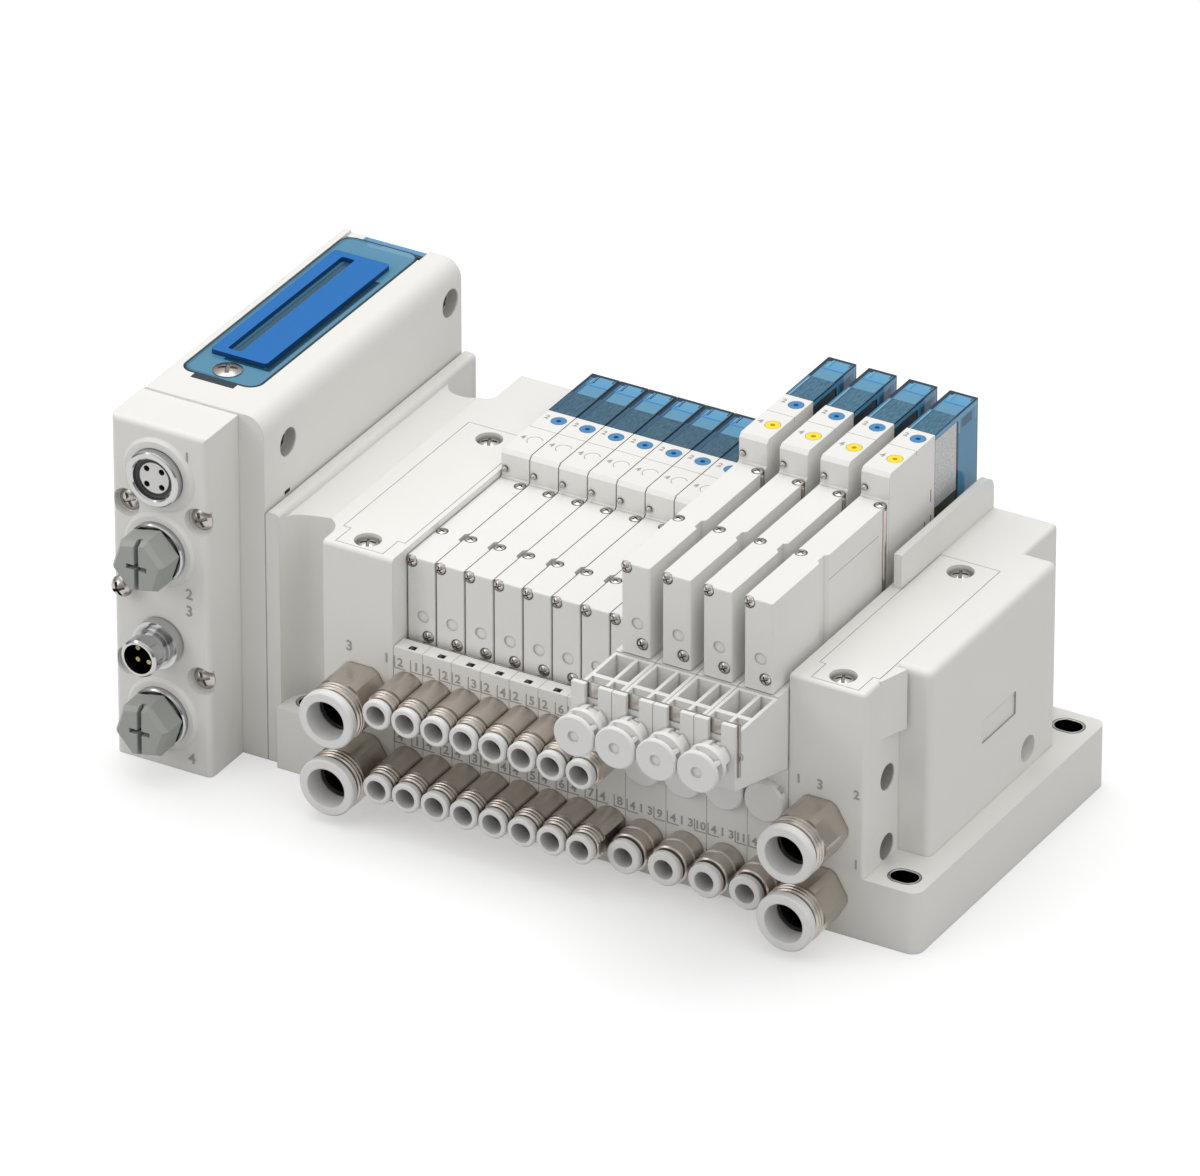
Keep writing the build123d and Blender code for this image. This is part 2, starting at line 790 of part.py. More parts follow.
button_tops = [(x, valve_seat, button_a_y, "a") for x in narrow_x]
button_tops += [(x, tall_seat, button_a_y, "a") for x in wide_x]
button_tops += [(x, tall_seat, button_b_y, "b") for x in wide_x]
station_of = {x: i + 1 for i, x in enumerate(narrow_x + wide_x)}
for x, seat, y, side in button_tops:
    name = f"override_{side}_{station_of[x]:02d}"
    with BuildPart() as placed:
        with Locations((x + button_offset, front + y, seat + valve_height + pilot_height)):
            add(button.part)
    placed.part.label = name
    export_step(placed.part, f"parts/{name}.step")

# Spacers: they lift the tall valves and carry a port block at the front
spacer_width = wide_pitch - spacer_side_gap
port_block_top = tall_seat - spacer_shelf_drop
post_top = port_block_top + spacer_post_height
pocket_width = spacer_width - 2 * spacer_pocket_wall
with BuildPart() as spacer:
    with BuildSketch(Plane.YZ):
        with BuildLine():
            Polyline(
                (front + spacer_front, spacer_front_bottom),
                (front + spacer_front, post_top),
                (front + spacer_front + spacer_post_depth, post_top),
                (front + spacer_front + spacer_post_depth, port_block_top),
                (front + tall_valve_front, port_block_top),
                (front + tall_valve_front, tall_seat),
                (front + spacer_rear, tall_seat),
                (front + spacer_rear, valve_seat),
                (front + ledge_depth + spacer_clearance, valve_seat),
                (front + ledge_depth + spacer_clearance, ledge_height + spacer_clearance),
                (front - spacer_clearance, ledge_height + spacer_clearance),
                (front - spacer_clearance, spacer_toe_bottom),
                close=True,
            )
        make_face()
    extrude(amount=spacer_width / 2, both=True)
    bore(0, front + spacer_front, spacer_port_height, spacer_bore_radius, spacer_bore_depth)
    post_rear = front + spacer_front + spacer_post_depth
    slot_rear = post_rear + clip_slot_width
    pocket_front = slot_rear + clip_slot_wall
    front_end = pocket_front + spacer_front_pocket
    rear_start = front_end + spacer_pocket_bridge
    rear_end = rear_start + spacer_rear_pocket
    split = -pocket_width / 2 + spacer_left_pocket
    for sides in ((-pocket_width / 2, split), (split + spacer_rib, pocket_width / 2)):
        front_floor = port_block_top - spacer_front_pocket_depth
        rear_floor = port_block_top - spacer_rear_pocket_depth
        bar(sides, (pocket_front, front_end), (front_floor, post_top), Mode.SUBTRACT)
        bar(sides, (rear_start, rear_end), (rear_floor, post_top), Mode.SUBTRACT)
    bar(
        (-spacer_width, spacer_width), (post_rear, slot_rear),
        (port_block_top - clip_slot_depth, port_block_top + 1), Mode.SUBTRACT,
    )
    bar(
        (-spacer_post_gap / 2, spacer_post_gap / 2), (front + spacer_front - 1, post_rear + 0.01),
        (spacer_port_height + spacer_bore_radius, post_top + 1), Mode.SUBTRACT,
    )
with BuildPart() as spacers:
    with Locations([(x, 0, 0) for x in wide_x]):
        add(spacer.part)
spacers.part.label = "spacers"
export_step(spacers.part, "parts/spacers.step")


def fitting(body_radius, flat_width, body_length, bore_radius, wall, shank, ribbed, hexagonal):
    """Push-in fitting body along Y, its rear face on the base block at the origin."""
    stem = bore_radius + wall
    recess_end = -body_length + collar_depth + collar_stem_gap
    band = -body_length + body_front_band
    slim = body_radius - body_front_step
    if ribbed:
        rib_1 = band - body_rib_gap
        rib_2 = rib_1 - body_rib_width - body_rib_gap
        outside = [(band, body_radius), (band, slim)]
        for rib in (rib_1, rib_2):
            outside += [
                (rib, slim),
                (rib - body_rib_width * 0.3, slim + body_rib),
                (rib - body_rib_width * 0.7, slim + body_rib),
                (rib - body_rib_width, slim),
            ]
        outside += [(-body_length + body_chamfer, slim), (-body_length, slim - body_chamfer)]
    else:
        outside = [
            (-ring_place, body_radius),
            (-ring_place, body_radius + ring_height),
            (-ring_place - ring_width, body_radius + ring_height),
            (-ring_place - ring_width, body_radius),
            (-body_length + body_chamfer, body_radius),
            (-body_length, body_radius - body_chamfer),
        ]
    with BuildPart() as made:
        with BuildSketch(Plane.YZ):
            with BuildLine():
                Polyline(
                    (shank_depth, 0),
                    (shank_depth, shank),
                    (0, shank),
                    (0, body_radius),
                    *outside,
                    (-body_length, stem + collar_clearance),
                    (recess_end, stem + collar_clearance),
                    (recess_end, bore_radius),
                    (-port_stop, bore_radius),
                    (-port_stop, 0),
                    close=True,
                )
            make_face()
        revolve(axis=Axis.Y)
        if hexagonal:
            with BuildSketch(Plane.XZ):
                Circle(body_radius + 1)
                RegularPolygon(flat_width / 2, 6, major_radius=False, mode=Mode.SUBTRACT)
            extrude(amount=-band, mode=Mode.SUBTRACT)
        if flat_width < 2 * body_radius and not hexagonal:
            for side in (-1, 1):
                with Locations((side * (flat_width / 2 + 1), 0, 0)):
                    Box(2, 4 * body_length, 4 * body_length, mode=Mode.SUBTRACT)
    return made.part


def collar(body_length, bore_radius, wall, head_radius, head, gap):
    """Release collar: a ring head in front of the body and a stem inside it."""
    back = -body_length - gap
    face = back - head
    with BuildPart() as made:
        with BuildSketch(Plane.YZ):
            with BuildLine():
                Polyline(
                    (face, bore_radius),
                    (face, head_radius - body_chamfer),
                    (face + body_chamfer, head_radius),
                    (back, head_radius),
                    (back, bore_radius + wall),
                    (-body_length + collar_depth, bore_radius + wall),
                    (-body_length + collar_depth, bore_radius),
                    close=True,
                )
            make_face()
        revolve(axis=Axis.Y)
    return made.part


small_fitting = fitting(
    small_body_radius, small_flat_width, small_body_length, small_bore_radius, collar_wall,
    shank_radius, True, False,
)
wide_fitting = fitting(
    wide_body_radius, 2 * wide_body_radius, wide_body_length, small_bore_radius, collar_wall,
    shank_radius, False, False,
)
large_fitting = fitting(
    large_body_radius, large_flat_width, large_body_length, large_bore_radius, large_collar_wall,
    large_shank_radius, True, True,
)
small_collar = collar(
    small_body_length, small_bore_radius, collar_wall, small_collar_radius, small_collar_head,
    small_collar_gap,
)
wide_collar = collar(
    wide_body_length, small_bore_radius, collar_wall, wide_collar_radius, small_collar_head,
    small_collar_gap,
)
large_collar = collar(
    large_body_length, large_bore_radius, large_collar_wall, large_collar_radius,
    large_collar_head, large_collar_gap,
)
ports = {}
for i, x in enumerate(narrow_x):
    ports[f"upper_{i + 1}"] = ((x, front, upper_row), small_fitting, small_collar)
    ports[f"lower_{i + 1}"] = ((x, front, lower_row), small_fitting, small_collar)
for i, x in enumerate(wide_x):
    ports[f"wide_{i + 1}"] = ((x, front, wide_row), wide_fitting, wide_collar)
for i, (x, z) in enumerate([(x, z) for x in large_port_x for z in large_rows]):
    ports[f"large_{i + 1}"] = ((x, front, z), large_fitting, large_collar)

with BuildPart() as fitting_bodies:
    for place, body, ring in ports.values():
        with Locations(place):
            add(body)
fitting_bodies.part.label = "fitting_bodies"
export_step(fitting_bodies.part, "parts/fitting_bodies.step")

for name, (place, body, ring) in ports.items():
    with BuildPart() as placed:
        with Locations(place):
            add(ring)
    placed.part.label = f"collar_{name}"
    export_step(placed.part, f"parts/collar_{name}.step")

# Plugs: blanks in the wide base blocks, double-disc plugs in the spacers
with BuildPart() as blank:
    with BuildSketch(Plane.YZ):
        with BuildLine():
            Polyline(
                (shank_depth, 0),
                (shank_depth, shank_radius),
                (0, shank_radius),
                (0, blank_radius),
                (-blank_thickness + body_chamfer, blank_radius),
                (-blank_thickness, blank_radius - body_chamfer),
                (-blank_thickness, 0),
                close=True,
            )
        make_face()
    revolve(axis=Axis.Y)
    with BuildSketch(Plane.XZ):
        with PolarLocations(blank_radius, 4, start_angle=45):
            Rectangle(2 * blank_slot_depth, blank_slot_width)
    extrude(amount=blank_thickness * 0.6, mode=Mode.SUBTRACT)
with BuildPart() as plug:
    waist_front = -plug_face + plug_disc
    waist_rear = waist_front + plug_waist
    disc_rear = waist_rear + plug_rear_disc
    with BuildSketch(Plane.YZ):
        with BuildLine():
            Polyline(
                (spacer_front + plug_core_depth, 0),
                (spacer_front + plug_core_depth, spacer_bore_radius - socket_clearance),
                (spacer_front, spacer_bore_radius - socket_clearance),
                (spacer_front, plug_hub_radius),
                (disc_rear, plug_hub_radius),
                (disc_rear, plug_rear_radius),
                (waist_rear, plug_rear_radius),
                (waist_rear, plug_waist_radius),
                (waist_front, plug_waist_radius),
                (waist_front, plug_radius),
                (-plug_face + body_chamfer, plug_radius),
                (-plug_face, plug_radius - body_chamfer),
                (-plug_face, plug_dimple_radius),
                (-plug_face + plug_dimple_depth, plug_dimple_radius),
                (-plug_face + plug_dimple_depth, 0),
                close=True,
            )
        make_face()
    revolve(axis=Axis.Y)
    with BuildSketch(Plane.XZ.offset(-waist_rear)):
        with PolarLocations((plug_rear_radius + plug_waist_radius) / 2 - 0.4, plug_fins, start_angle=30):
            Rectangle(plug_rear_radius - plug_waist_radius + 0.6, plug_fin_thickness)
    extrude(amount=plug_waist)
    with BuildSketch(Plane.XZ.offset(-spacer_front)):
        with PolarLocations(plug_hub_radius, plug_fins, start_angle=75):
            Rectangle(1.4, plug_hub_window)
    extrude(amount=spacer_front - disc_rear, mode=Mode.SUBTRACT)
with BuildPart() as port_plugs:
    with Locations([(x, front, blank_row) for x in wide_x]):
        add(blank.part)
    with Locations([(x, front, spacer_port_height) for x in wide_x]):
        add(plug.part)
port_plugs.part.label = "port_plugs"
export_step(port_plugs.part, "parts/port_plugs.step")

# Electronics module: tall case with a window well on top
module_front = front + flange_set_back
case_rear = front + module_rear
window_x0 = module_left + window_left
window_x1 = window_x0 + window_width
window_y0 = front + window_front
window_y1 = front + window_rear
hinge_x0 = module_left + hinge_left
hinge_x1 = hinge_x0 + hinge_length
hinge_place = (front + hinge_y, module_height - hinge_radius - hinge_drop)
tab_x0 = module_left + window_tab_left
seat_gap = window_thickness + window_clearance
side_screws = [
    (module_front + side_screw_front[0], module_height - side_screw_front[1]),
    (case_rear - side_screw_rear[0], module_height - side_screw_rear[1]),
]
with BuildPart() as module_case:
    with BuildSketch(Plane.XZ.offset(-case_rear)) as section:
        with Locations(((module_left + module_right) / 2, module_height / 2)):
            Rectangle(module_length, module_height)
        fillet(section.vertices().group_by(Axis.Y)[-1].sort_by(Axis.X)[-1], radius=module_round)
        fillet(section.vertices().group_by(Axis.Y)[-1].sort_by(Axis.X)[0], radius=module_edge)
    extrude(amount=case_rear - module_front)
    with BuildSketch(Plane.XY.offset(module_height)):
        with Locations(((window_x0 + window_x1) / 2, (window_y0 + window_y1) / 2)):
            RectangleRounded(
                window_width + 2 * window_clearance,
                window_rear - window_front + 2 * window_clearance,
                window_corner,
            )
        with Locations((tab_x0 + window_tab_width / 2, window_y0)):
            Rectangle(window_tab_width + 2 * window_clearance, 2 * (window_tab_length + window_clearance))
    extrude(amount=-seat_gap, mode=Mode.SUBTRACT)
    with BuildSketch(Plane.XY.offset(module_height)):
        with Locations(((window_x0 + window_x1) / 2, (window_y0 + window_y1) / 2)):
            RectangleRounded(
                window_width - 2 * window_rim,
                window_rear - window_front - 2 * window_rim,
                window_corner - window_rim,
            )
    extrude(amount=-seat_gap - window_well, mode=Mode.SUBTRACT)
    bar(
        (hinge_x0 - window_clearance, hinge_x1 + window_clearance),
        (window_y1 - 2, case_rear + 1),
        (hinge_place[1] - hinge_radius - 0.3, module_height + 1),
        Mode.SUBTRACT,
    )
    bar(
        (window_x0 - window_clearance, hinge_x0),
        (window_y1 - window_corner, window_y1 + swing_gap),
        (module_height - seat_gap, module_height + 1),
        Mode.SUBTRACT,
    )
    bar(
        (window_x0 - window_clearance, hinge_x0),
        (window_y1, case_rear + 1),
        (module_height - swing_step, module_height + 1),
        Mode.SUBTRACT,
    )
    with Locations(Location(((hinge_x0 + hinge_x1) / 2, *hinge_place), (0, 90, 0))):
        Cylinder(
            hinge_pin_radius + hinge_pin_clearance,
            hinge_length + 2 * (hinge_pin_length + window_clearance),
            mode=Mode.SUBTRACT,
        )
    for y, z in side_screws:
        bore(module_right, y, z, module_hole_radius, module_hole_depth, "x")
        bore(
            module_right - module_hole_depth, y, z,
            module_screw[2] + screw_clearance, module_screw[3] + 0.5, "x",
        )
module_case.part.label = "module_case"
export_step(module_case.part, "parts/module_case.step")

# Front block of the module, with the connectors
front_right = module_left + front_block_length
connector_place = module_left + connector_x
pocket_places = [(front_right - pocket_inset, z) for z in pocket_heights]
pocket_places += [(module_left + left_pocket_inset, z) for z in pocket_heights]
with BuildPart() as module_front_block:
    with BuildSketch(Plane.XY):
        with Locations(((module_left + front_right) / 2, (front_block_front + module_front) / 2)):
            Rectangle(front_block_length, front_block_depth)
    extrude(amount=front_block_height)
    fillet(
        module_front_block.edges().filter_by(Axis.X).group_by(Axis.Z)[-1].sort_by(Axis.Y)[0:1]
        + module_front_block.edges().filter_by(Axis.Z).group_by(Axis.Y)[0],
        radius=front_block_round,
    )
    for x, z in pocket_places:
        bore(x, front_block_front, z, pocket_radius, pocket_depth)
        bore(
            x, front_block_front + pocket_depth, z,
            module_screw[2] + screw_clearance, module_screw[3] + 0.5,
        )
    with BuildSketch(Plane.XZ.offset(-front_block_front)):
        with Locations([(connector_place, z) for z in (socket_z, *cap_zs)]):
            Circle(boss_ring_radius)
    extrude(amount=boss_ring_height, taper=boss_ring_taper)
    bore(
        connector_place, front_block_front - boss_ring_height, socket_z,
        shell_radius + socket_clearance, boss_ring_height + 3,
    )
    bore(
        module_left + ground_screw_x, front_block_front, ground_screw_z,
        ground_screw[2] + screw_clearance, ground_screw[3],
    )
module_front_block.part.label = "module_front"
export_step(module_front_block.part, "parts/module_front.step")

# Window with its hinge barrel and pins, and the plate and screw that it carries
with BuildPart() as window:
    with BuildSketch(Plane.XY.offset(module_height - window_thickness)):
        with Locations(((window_x0 + window_x1) / 2, (window_y0 + window_y1) / 2)):
            RectangleRounded(window_width, window_rear - window_front, window_corner)
        with Locations((tab_x0 + window_tab_width / 2, window_y0)):
            Rectangle(window_tab_width, 2 * window_tab_length)
    extrude(amount=window_thickness)
    bar(
        (hinge_x0, hinge_x1), (window_y1 - 1, hinge_place[0]),
        (module_height - window_thickness, module_height - hinge_drop),
    )
    with Locations(Location(((hinge_x0 + hinge_x1) / 2, *hinge_place), (0, 90, 0))):
        Cylinder(hinge_radius, hinge_length)
        Cylinder(hinge_pin_radius, hinge_length + 2 * hinge_pin_length)
    bore(
        module_left + window_screw_x, front + window_screw_y, module_height,
        window_screw_shank + screw_clearance, window_thickness, "z",
    )
window.part.label = "window"
export_step(window.part, "parts/window.step")

label_x0 = module_left + label_left
with BuildPart() as label_plate:
    with BuildSketch(Plane.XY.offset(module_height)):
        with Locations((label_x0 + label_width / 2, front + (label_front + label_rear) / 2)):
            RectangleRounded(label_width, label_rear - label_front, 0.8)
        with Locations((
            label_x0 + label_slot_left + label_slot_width / 2,
            front + (label_front + label_rear) / 2,
        )):
            RectangleRounded(
                label_slot_width, label_rear - label_front - 2 * label_slot_margin, 0.6,
                mode=Mode.SUBTRACT,
            )
    extrude(amount=label_height)
label_plate.part.label = "label_plate"
export_step(label_plate.part, "parts/label_plate.step")

window_screw_size = (
    window_screw_radius, window_screw_head, window_screw_shank, window_screw_length,
)
with BuildPart() as window_screw:
    with Locations((module_left + window_screw_x, front + window_screw_y, module_height)):
        add(screw(window_screw_size, "z"))
window_screw.part.label = "window_screw"
export_step(window_screw.part, "parts/window_screw.step")

# Connector shells: a socket with a recess, and a threaded plug with contact pins
with BuildPart() as socket_shell:
    with BuildSketch(Plane.YZ):
        with BuildLine():
            Polyline(
                (boss_ring_height + 2.5, shell_bore),
                (boss_ring_height + 2.5, shell_radius),
                (-shell_length + 0.3, shell_radius),
                (-shell_length, shell_radius - 0.3),
                (-shell_length, shell_bore + 0.3),
                (-shell_length + 0.3, shell_bore),
                close=True,
            )
        make_face()
    revolve(axis=Axis.Y)
with BuildPart() as pin_shell:
    tip = -pin_flange_length - pin_thread_length - pin_tip_length
    with BuildSketch(Plane.YZ):
        with BuildLine():
            Polyline(
                (0, 0),
                (0, pin_flange_radius),
                (-pin_flange_length, pin_flange_radius),
                (-pin_flange_length, pin_thread_radius),
                (-pin_flange_length - 1, pin_thread_radius),
                (-pin_flange_length - 1, pin_neck_radius),
                (-pin_flange_length - pin_thread_length + 1, pin_neck_radius),
                (-pin_flange_length - pin_thread_length + 1, pin_thread_radius),
                (tip + 0.4, pin_tip_radius),
                (tip, pin_tip_radius - 0.4),
                (tip, pin_cavity_radius),
                (tip + pin_cavity_depth, pin_cavity_radius),
                (tip + pin_cavity_depth, 0),
                close=True,
            )
        make_face()
    revolve(axis=Axis.Y)
with BuildPart() as cap_ring:
    with BuildSketch(Plane.XZ):
        Circle(cap_ring_radius)
    extrude(amount=cap_ring_length)
    chamfer(cap_ring.edges().group_by(Axis.Y)[0], length=body_chamfer)
with BuildPart() as connector_shells:
    with Locations((connector_place, front_block_front - boss_ring_height, socket_z)):
        add(socket_shell.part)
    with Locations((connector_place, front_block_front, pin_plug_z)):
        add(pin_shell.part)
    with Locations([(connector_place, front_block_front - boss_ring_height, z) for z in cap_zs]):
        add(cap_ring.part)
connector_shells.part.label = "connector_shells"
export_step(connector_shells.part, "parts/connector_shells.step")

# Inserts: the socket's moulded face with four contact holes, and the plug's four pins
pin_root = front_block_front + tip + pin_cavity_depth
with BuildPart() as connector_inserts:
    with Locations(Location((connector_place, front_block_front + 2.2, socket_z), (90, 0, 0))):
        Cylinder(
            shell_bore - insert_clearance, 2.2 + boss_ring_height + shell_length - 1.1,
            align=(Align.CENTER, Align.CENTER, Align.MIN),
        )
    insert_face = front_block_front - boss_ring_height - shell_length + 1.1
    with BuildSketch(Plane.XZ.offset(-insert_face)):
        with Locations((connector_place, socket_z)):
            with PolarLocations(contact_circle, 4, start_angle=45):
                Circle(contact_hole_radius)
    extrude(amount=-contact_hole_depth, mode=Mode.SUBTRACT)
    with BuildSketch(Plane.XZ.offset(-pin_root)):
        with Locations((connector_place, pin_plug_z)):
            with PolarLocations(contact_circle * 0.75, 4, start_angle=45):
                Circle(pin_radius)
    extrude(amount=pin_reach)
connector_inserts.part.label = "connector_inserts"
export_step(connector_inserts.part, "parts/connector_inserts.step")

# Sealing caps over the two unused connectors: a hexagon with a faceted nose and a cross slot
with BuildPart() as cap:
    cap_foot = cap_ring_length + cap_neck_length
    with BuildSketch(Plane.XZ.offset(cap_ring_length)):
        Circle(cap_neck_radius)
    extrude(amount=cap_neck_length)
    with BuildSketch(Plane.XZ.offset(cap_foot)):
        RegularPolygon(cap_hex_radius, 6, rotation=cap_turn)
    extrude(amount=cap_hex_length)
    with BuildSketch(Plane.XZ.offset(cap_foot + cap_hex_length)):
        RegularPolygon(cap_hex_radius, 6, rotation=cap_turn)
    with BuildSketch(Plane.XZ.offset(cap_foot + cap_hex_length + cap_nose_length)):
        RegularPolygon(cap_nose_radius, 6, rotation=cap_turn)
    loft()
    nose = cap_foot + cap_hex_length + cap_nose_length
    with BuildSketch(Plane.XZ.offset(nose)):
        Rectangle(cap_slot_width, cap_slot_length)
        Rectangle(cap_cross_length, cap_slot_width)
    extrude(amount=-cap_slot_depth, mode=Mode.SUBTRACT)
with BuildPart() as seal_caps:
    with Locations([(connector_place, front_block_front - boss_ring_height, z) for z in cap_zs]):
        add(cap.part)
seal_caps.part.label = "seal_caps"
export_step(seal_caps.part, "parts/seal_caps.step")

# Screws that stay in the body, as lists of places for each kind and direction
front_places = []
tie_places = []
for seats, width, front_y, tie_front in (
    (narrow_set, narrow_valve_width, narrow_valve_front, tie_screw_front_narrow),
    (tall_set, tall_valve_width, tall_valve_front, tie_screw_front_tall),
):
    face = front + front_y + head_sink
    for x, y, z in seats:
        front_places.append((x + front_screw_upper[0], face, z + valve_height - front_screw_upper[1]))
        front_places.append((x + front_screw_lower[0], face, z + front_screw_lower[1]))
        tie_x = width / 2 - tie_screw_inset
        tie_z = z + valve_height - tie_screw_drop - tie_screw[1]
        tie_places.append((x - tie_x, front + tie_front, tie_z))
        tie_places.append((x + tie_x, front + tie_screw_rear, tie_z))
cover_screw_z = deck_height - cover_screw_sink_depth
cover_places = [(x, y, cover_screw_z) for x in (left_cover_x, right_cover_x) for y in cover_screw_y]
side_x = column_right - side_hole_depth
side_places = [(side_x, front + side_screw_y, z) for z in side_screw_heights]
case_x = module_right - module_hole_depth
case_places = [(case_x, y, z) for y, z in side_screws]
pocket_floor_y = front_block_front + pocket_depth
block_places = [(x, pocket_floor_y, z) for x, z in pocket_places]
ground_x = module_left + ground_screw_x
ground_place = (ground_x, front_block_front - ground_screw_washer, ground_screw_z)
screw_groups = [
    (screw(valve_screw, "y"), front_places),
    (screw(tie_screw, "z"), tie_places),
    (screw(cover_screw, "z"), cover_places),
    (screw(side_screw, "x"), side_places),
    (screw(module_screw, "x"), case_places),
    (screw(module_screw, "y"), block_places),
    (screw(ground_screw, "y"), [ground_place]),
]
with BuildPart() as screws:
    for unit, places in screw_groups:
        with Locations(places):
            add(unit)
    with BuildSketch(Plane.XZ.offset(-front_block_front)):
        with Locations((ground_x, ground_screw_z)):
            Circle(ground_screw[0] * 0.85)
            Circle(ground_screw[2], mode=Mode.SUBTRACT)
    extrude(amount=ground_screw_washer)
screws.part.label = "screws"
export_step(screws.part, "parts/screws.step")
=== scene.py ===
import json
import math

import bmesh
import bpy
import numpy as np
from mathutils import Matrix, Vector


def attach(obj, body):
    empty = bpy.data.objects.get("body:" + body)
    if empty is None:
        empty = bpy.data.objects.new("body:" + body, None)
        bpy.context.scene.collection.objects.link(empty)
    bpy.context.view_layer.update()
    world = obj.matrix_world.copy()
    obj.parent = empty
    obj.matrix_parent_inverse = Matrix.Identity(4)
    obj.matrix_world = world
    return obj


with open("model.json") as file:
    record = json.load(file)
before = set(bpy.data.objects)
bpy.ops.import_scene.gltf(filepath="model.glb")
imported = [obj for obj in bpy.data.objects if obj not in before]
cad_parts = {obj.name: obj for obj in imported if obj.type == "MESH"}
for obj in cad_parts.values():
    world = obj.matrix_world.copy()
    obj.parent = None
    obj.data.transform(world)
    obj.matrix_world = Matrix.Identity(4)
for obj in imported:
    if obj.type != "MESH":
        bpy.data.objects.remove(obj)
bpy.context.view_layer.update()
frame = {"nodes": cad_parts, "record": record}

MM = 0.001

# Places in millimetres, in the part's frame: the base and the row of stations
FRONT = -38.25
BANK_LEFT, WIDE_LEFT, BANK_RIGHT = -44.6, 7.4, 43.4
NARROW_PITCH, WIDE_PITCH = 6.5, 9.0
NARROW_X = [BANK_LEFT + NARROW_PITCH * (i + 0.5) for i in range(8)]
WIDE_X = [WIDE_LEFT + WIDE_PITCH * (i + 0.5) for i in range(4)]
LEDGE_TOP = 35.2
PORT_BLOCK_TOP, PORT_BLOCK_REACH = 51.0, 21.0

# Valves, pilots, covers and their screws
NARROW_TOP, TALL_TOP = 59.1, 77.4
PILOT_FRONT = FRONT + 41.5
PILOT_JOINT_Y = 14.05
NARROW_BALL_Z, TALL_BALL_Z = 55.0, 73.3
COIL_STEP, COVER_REAR, COVER_HALF = 30.25, 38.75, 3.13
NARROW_SCREW_TOP, TALL_SCREW_TOP = 53.0, 71.3
REAR_SCREW_Y = FRONT + 39.8
NUMBER_OFF, FRONT_NUMBER_Y, REAR_NUMBER_Y = -1.9, 9.5, 18.9    # numbers beside the buttons

# End blocks: mounting slots, right side and large ports
SLOT_X, SLOT_Y, SLOT_LENGTH, SLOT_WIDTH = 66.2, 33.15, 6.0, 4.5
FOOT_TOP = 13.6
SIDE_FACE = 60.0
SIDE_SCREW_Y, SIDE_SCREW_Z = FRONT + 9.1, (31.9, 16.4)
PLAQUE = (66.65, 66.97), (-4.1, 9.6), (28.3, 33.7)
LARGE_PORT_X, LARGE_PORT_Z = (-51.8, 50.3), (23.3, 8.2)

# Electronics module: connectors, window, label, board and switches
CONNECTOR_X, BLOCK_FACE = -91.35, -48.35
PIN_Z, SOCKET_Z, CONTACT_OFF = 28.2, 65.2, 1.70
SIDE_HOLES = (-27.35, 67.0), (34.75, 68.5)
SIDE_SLOT = (-28.9, -26.9), (55.9, 56.7)
LABEL_X, LABEL_Y = (-97.65, -84.85), (-18.45, 28.9)
WINDOW_MIDDLE, WINDOW_HALF, WINDOW_CORNER = (-91.05, 5.025), (8.8, 31.775), 3.0
HINGE_FRONT = 36.75
BOARD_LOW, BOARD_TOP, SWITCH_TOP = 69.05, 69.7, 72.6
SWITCH_PLACES = (-88.0, 26.5), (-88.0, -15.0)

# Raised figures: how far they stand out of their face, and how far they reach into it
FIGURE_RISE, FIGURE_SINK, FIGURE_LINE = 0.07, 0.03, 0.2
RIGHT, UP, BACK = (1, 0, 0), (0, 0, 1), (0, 1, 0)

# Camera: far away with a long lens, 30 degrees to the right and 29.66 degrees up
AZIMUTH = math.radians(30.0)
ELEVATION = math.radians(29.66)
DISTANCE = 2.617
LENS, SENSOR = 409.5, 36.0
AIM_SHIFT = (0.06087, 0.07075)        # how far the view's middle lies from the base corner
BASE_CORNER = np.array((0.072, -0.03825, 0.0))

# Colours that more than one finish uses
WARM_WHITE = (0.83, 0.82, 0.785)
VALVE_WHITE = (0.845, 0.835, 0.805)
SEAM_GREY = (0.30, 0.29, 0.27)
# BLACK is painted shade inside slits, holes, gaps and slots; DEEP_BLUE is painted shade on the
# edges and in the dark corners of the clear covers and window
BLACK = (0.006, 0.006, 0.006)
DEEP_BLUE = (0.012, 0.035, 0.055)


def place_camera():
    """Camera turned by the two angles and set back along its view line from the base's corner."""
    sa, ca = math.sin(AZIMUTH), math.cos(AZIMUTH)
    se, ce = math.sin(ELEVATION), math.cos(ELEVATION)
    ahead = np.array((-sa * ce, ca * ce, -se))
    right = np.array((ca, sa, 0.0))
    down = np.cross(ahead, right)
    spot = BASE_CORNER - AIM_SHIFT[0] * right - AIM_SHIFT[1] * down - DISTANCE * ahead
    data = bpy.data.cameras.new("camera")
    data.sensor_width = SENSOR
    data.lens = LENS
    data.clip_end = 20.0
    camera = bpy.data.objects.new("camera", data)
    turn = np.identity(4)
    turn[:3, 0], turn[:3, 1], turn[:3, 2], turn[:3, 3] = right, -down, -ahead, spot
    camera.matrix_world = Matrix(turn.tolist())
    bpy.context.scene.collection.objects.link(camera)
    bpy.context.scene.camera = camera


place_camera()


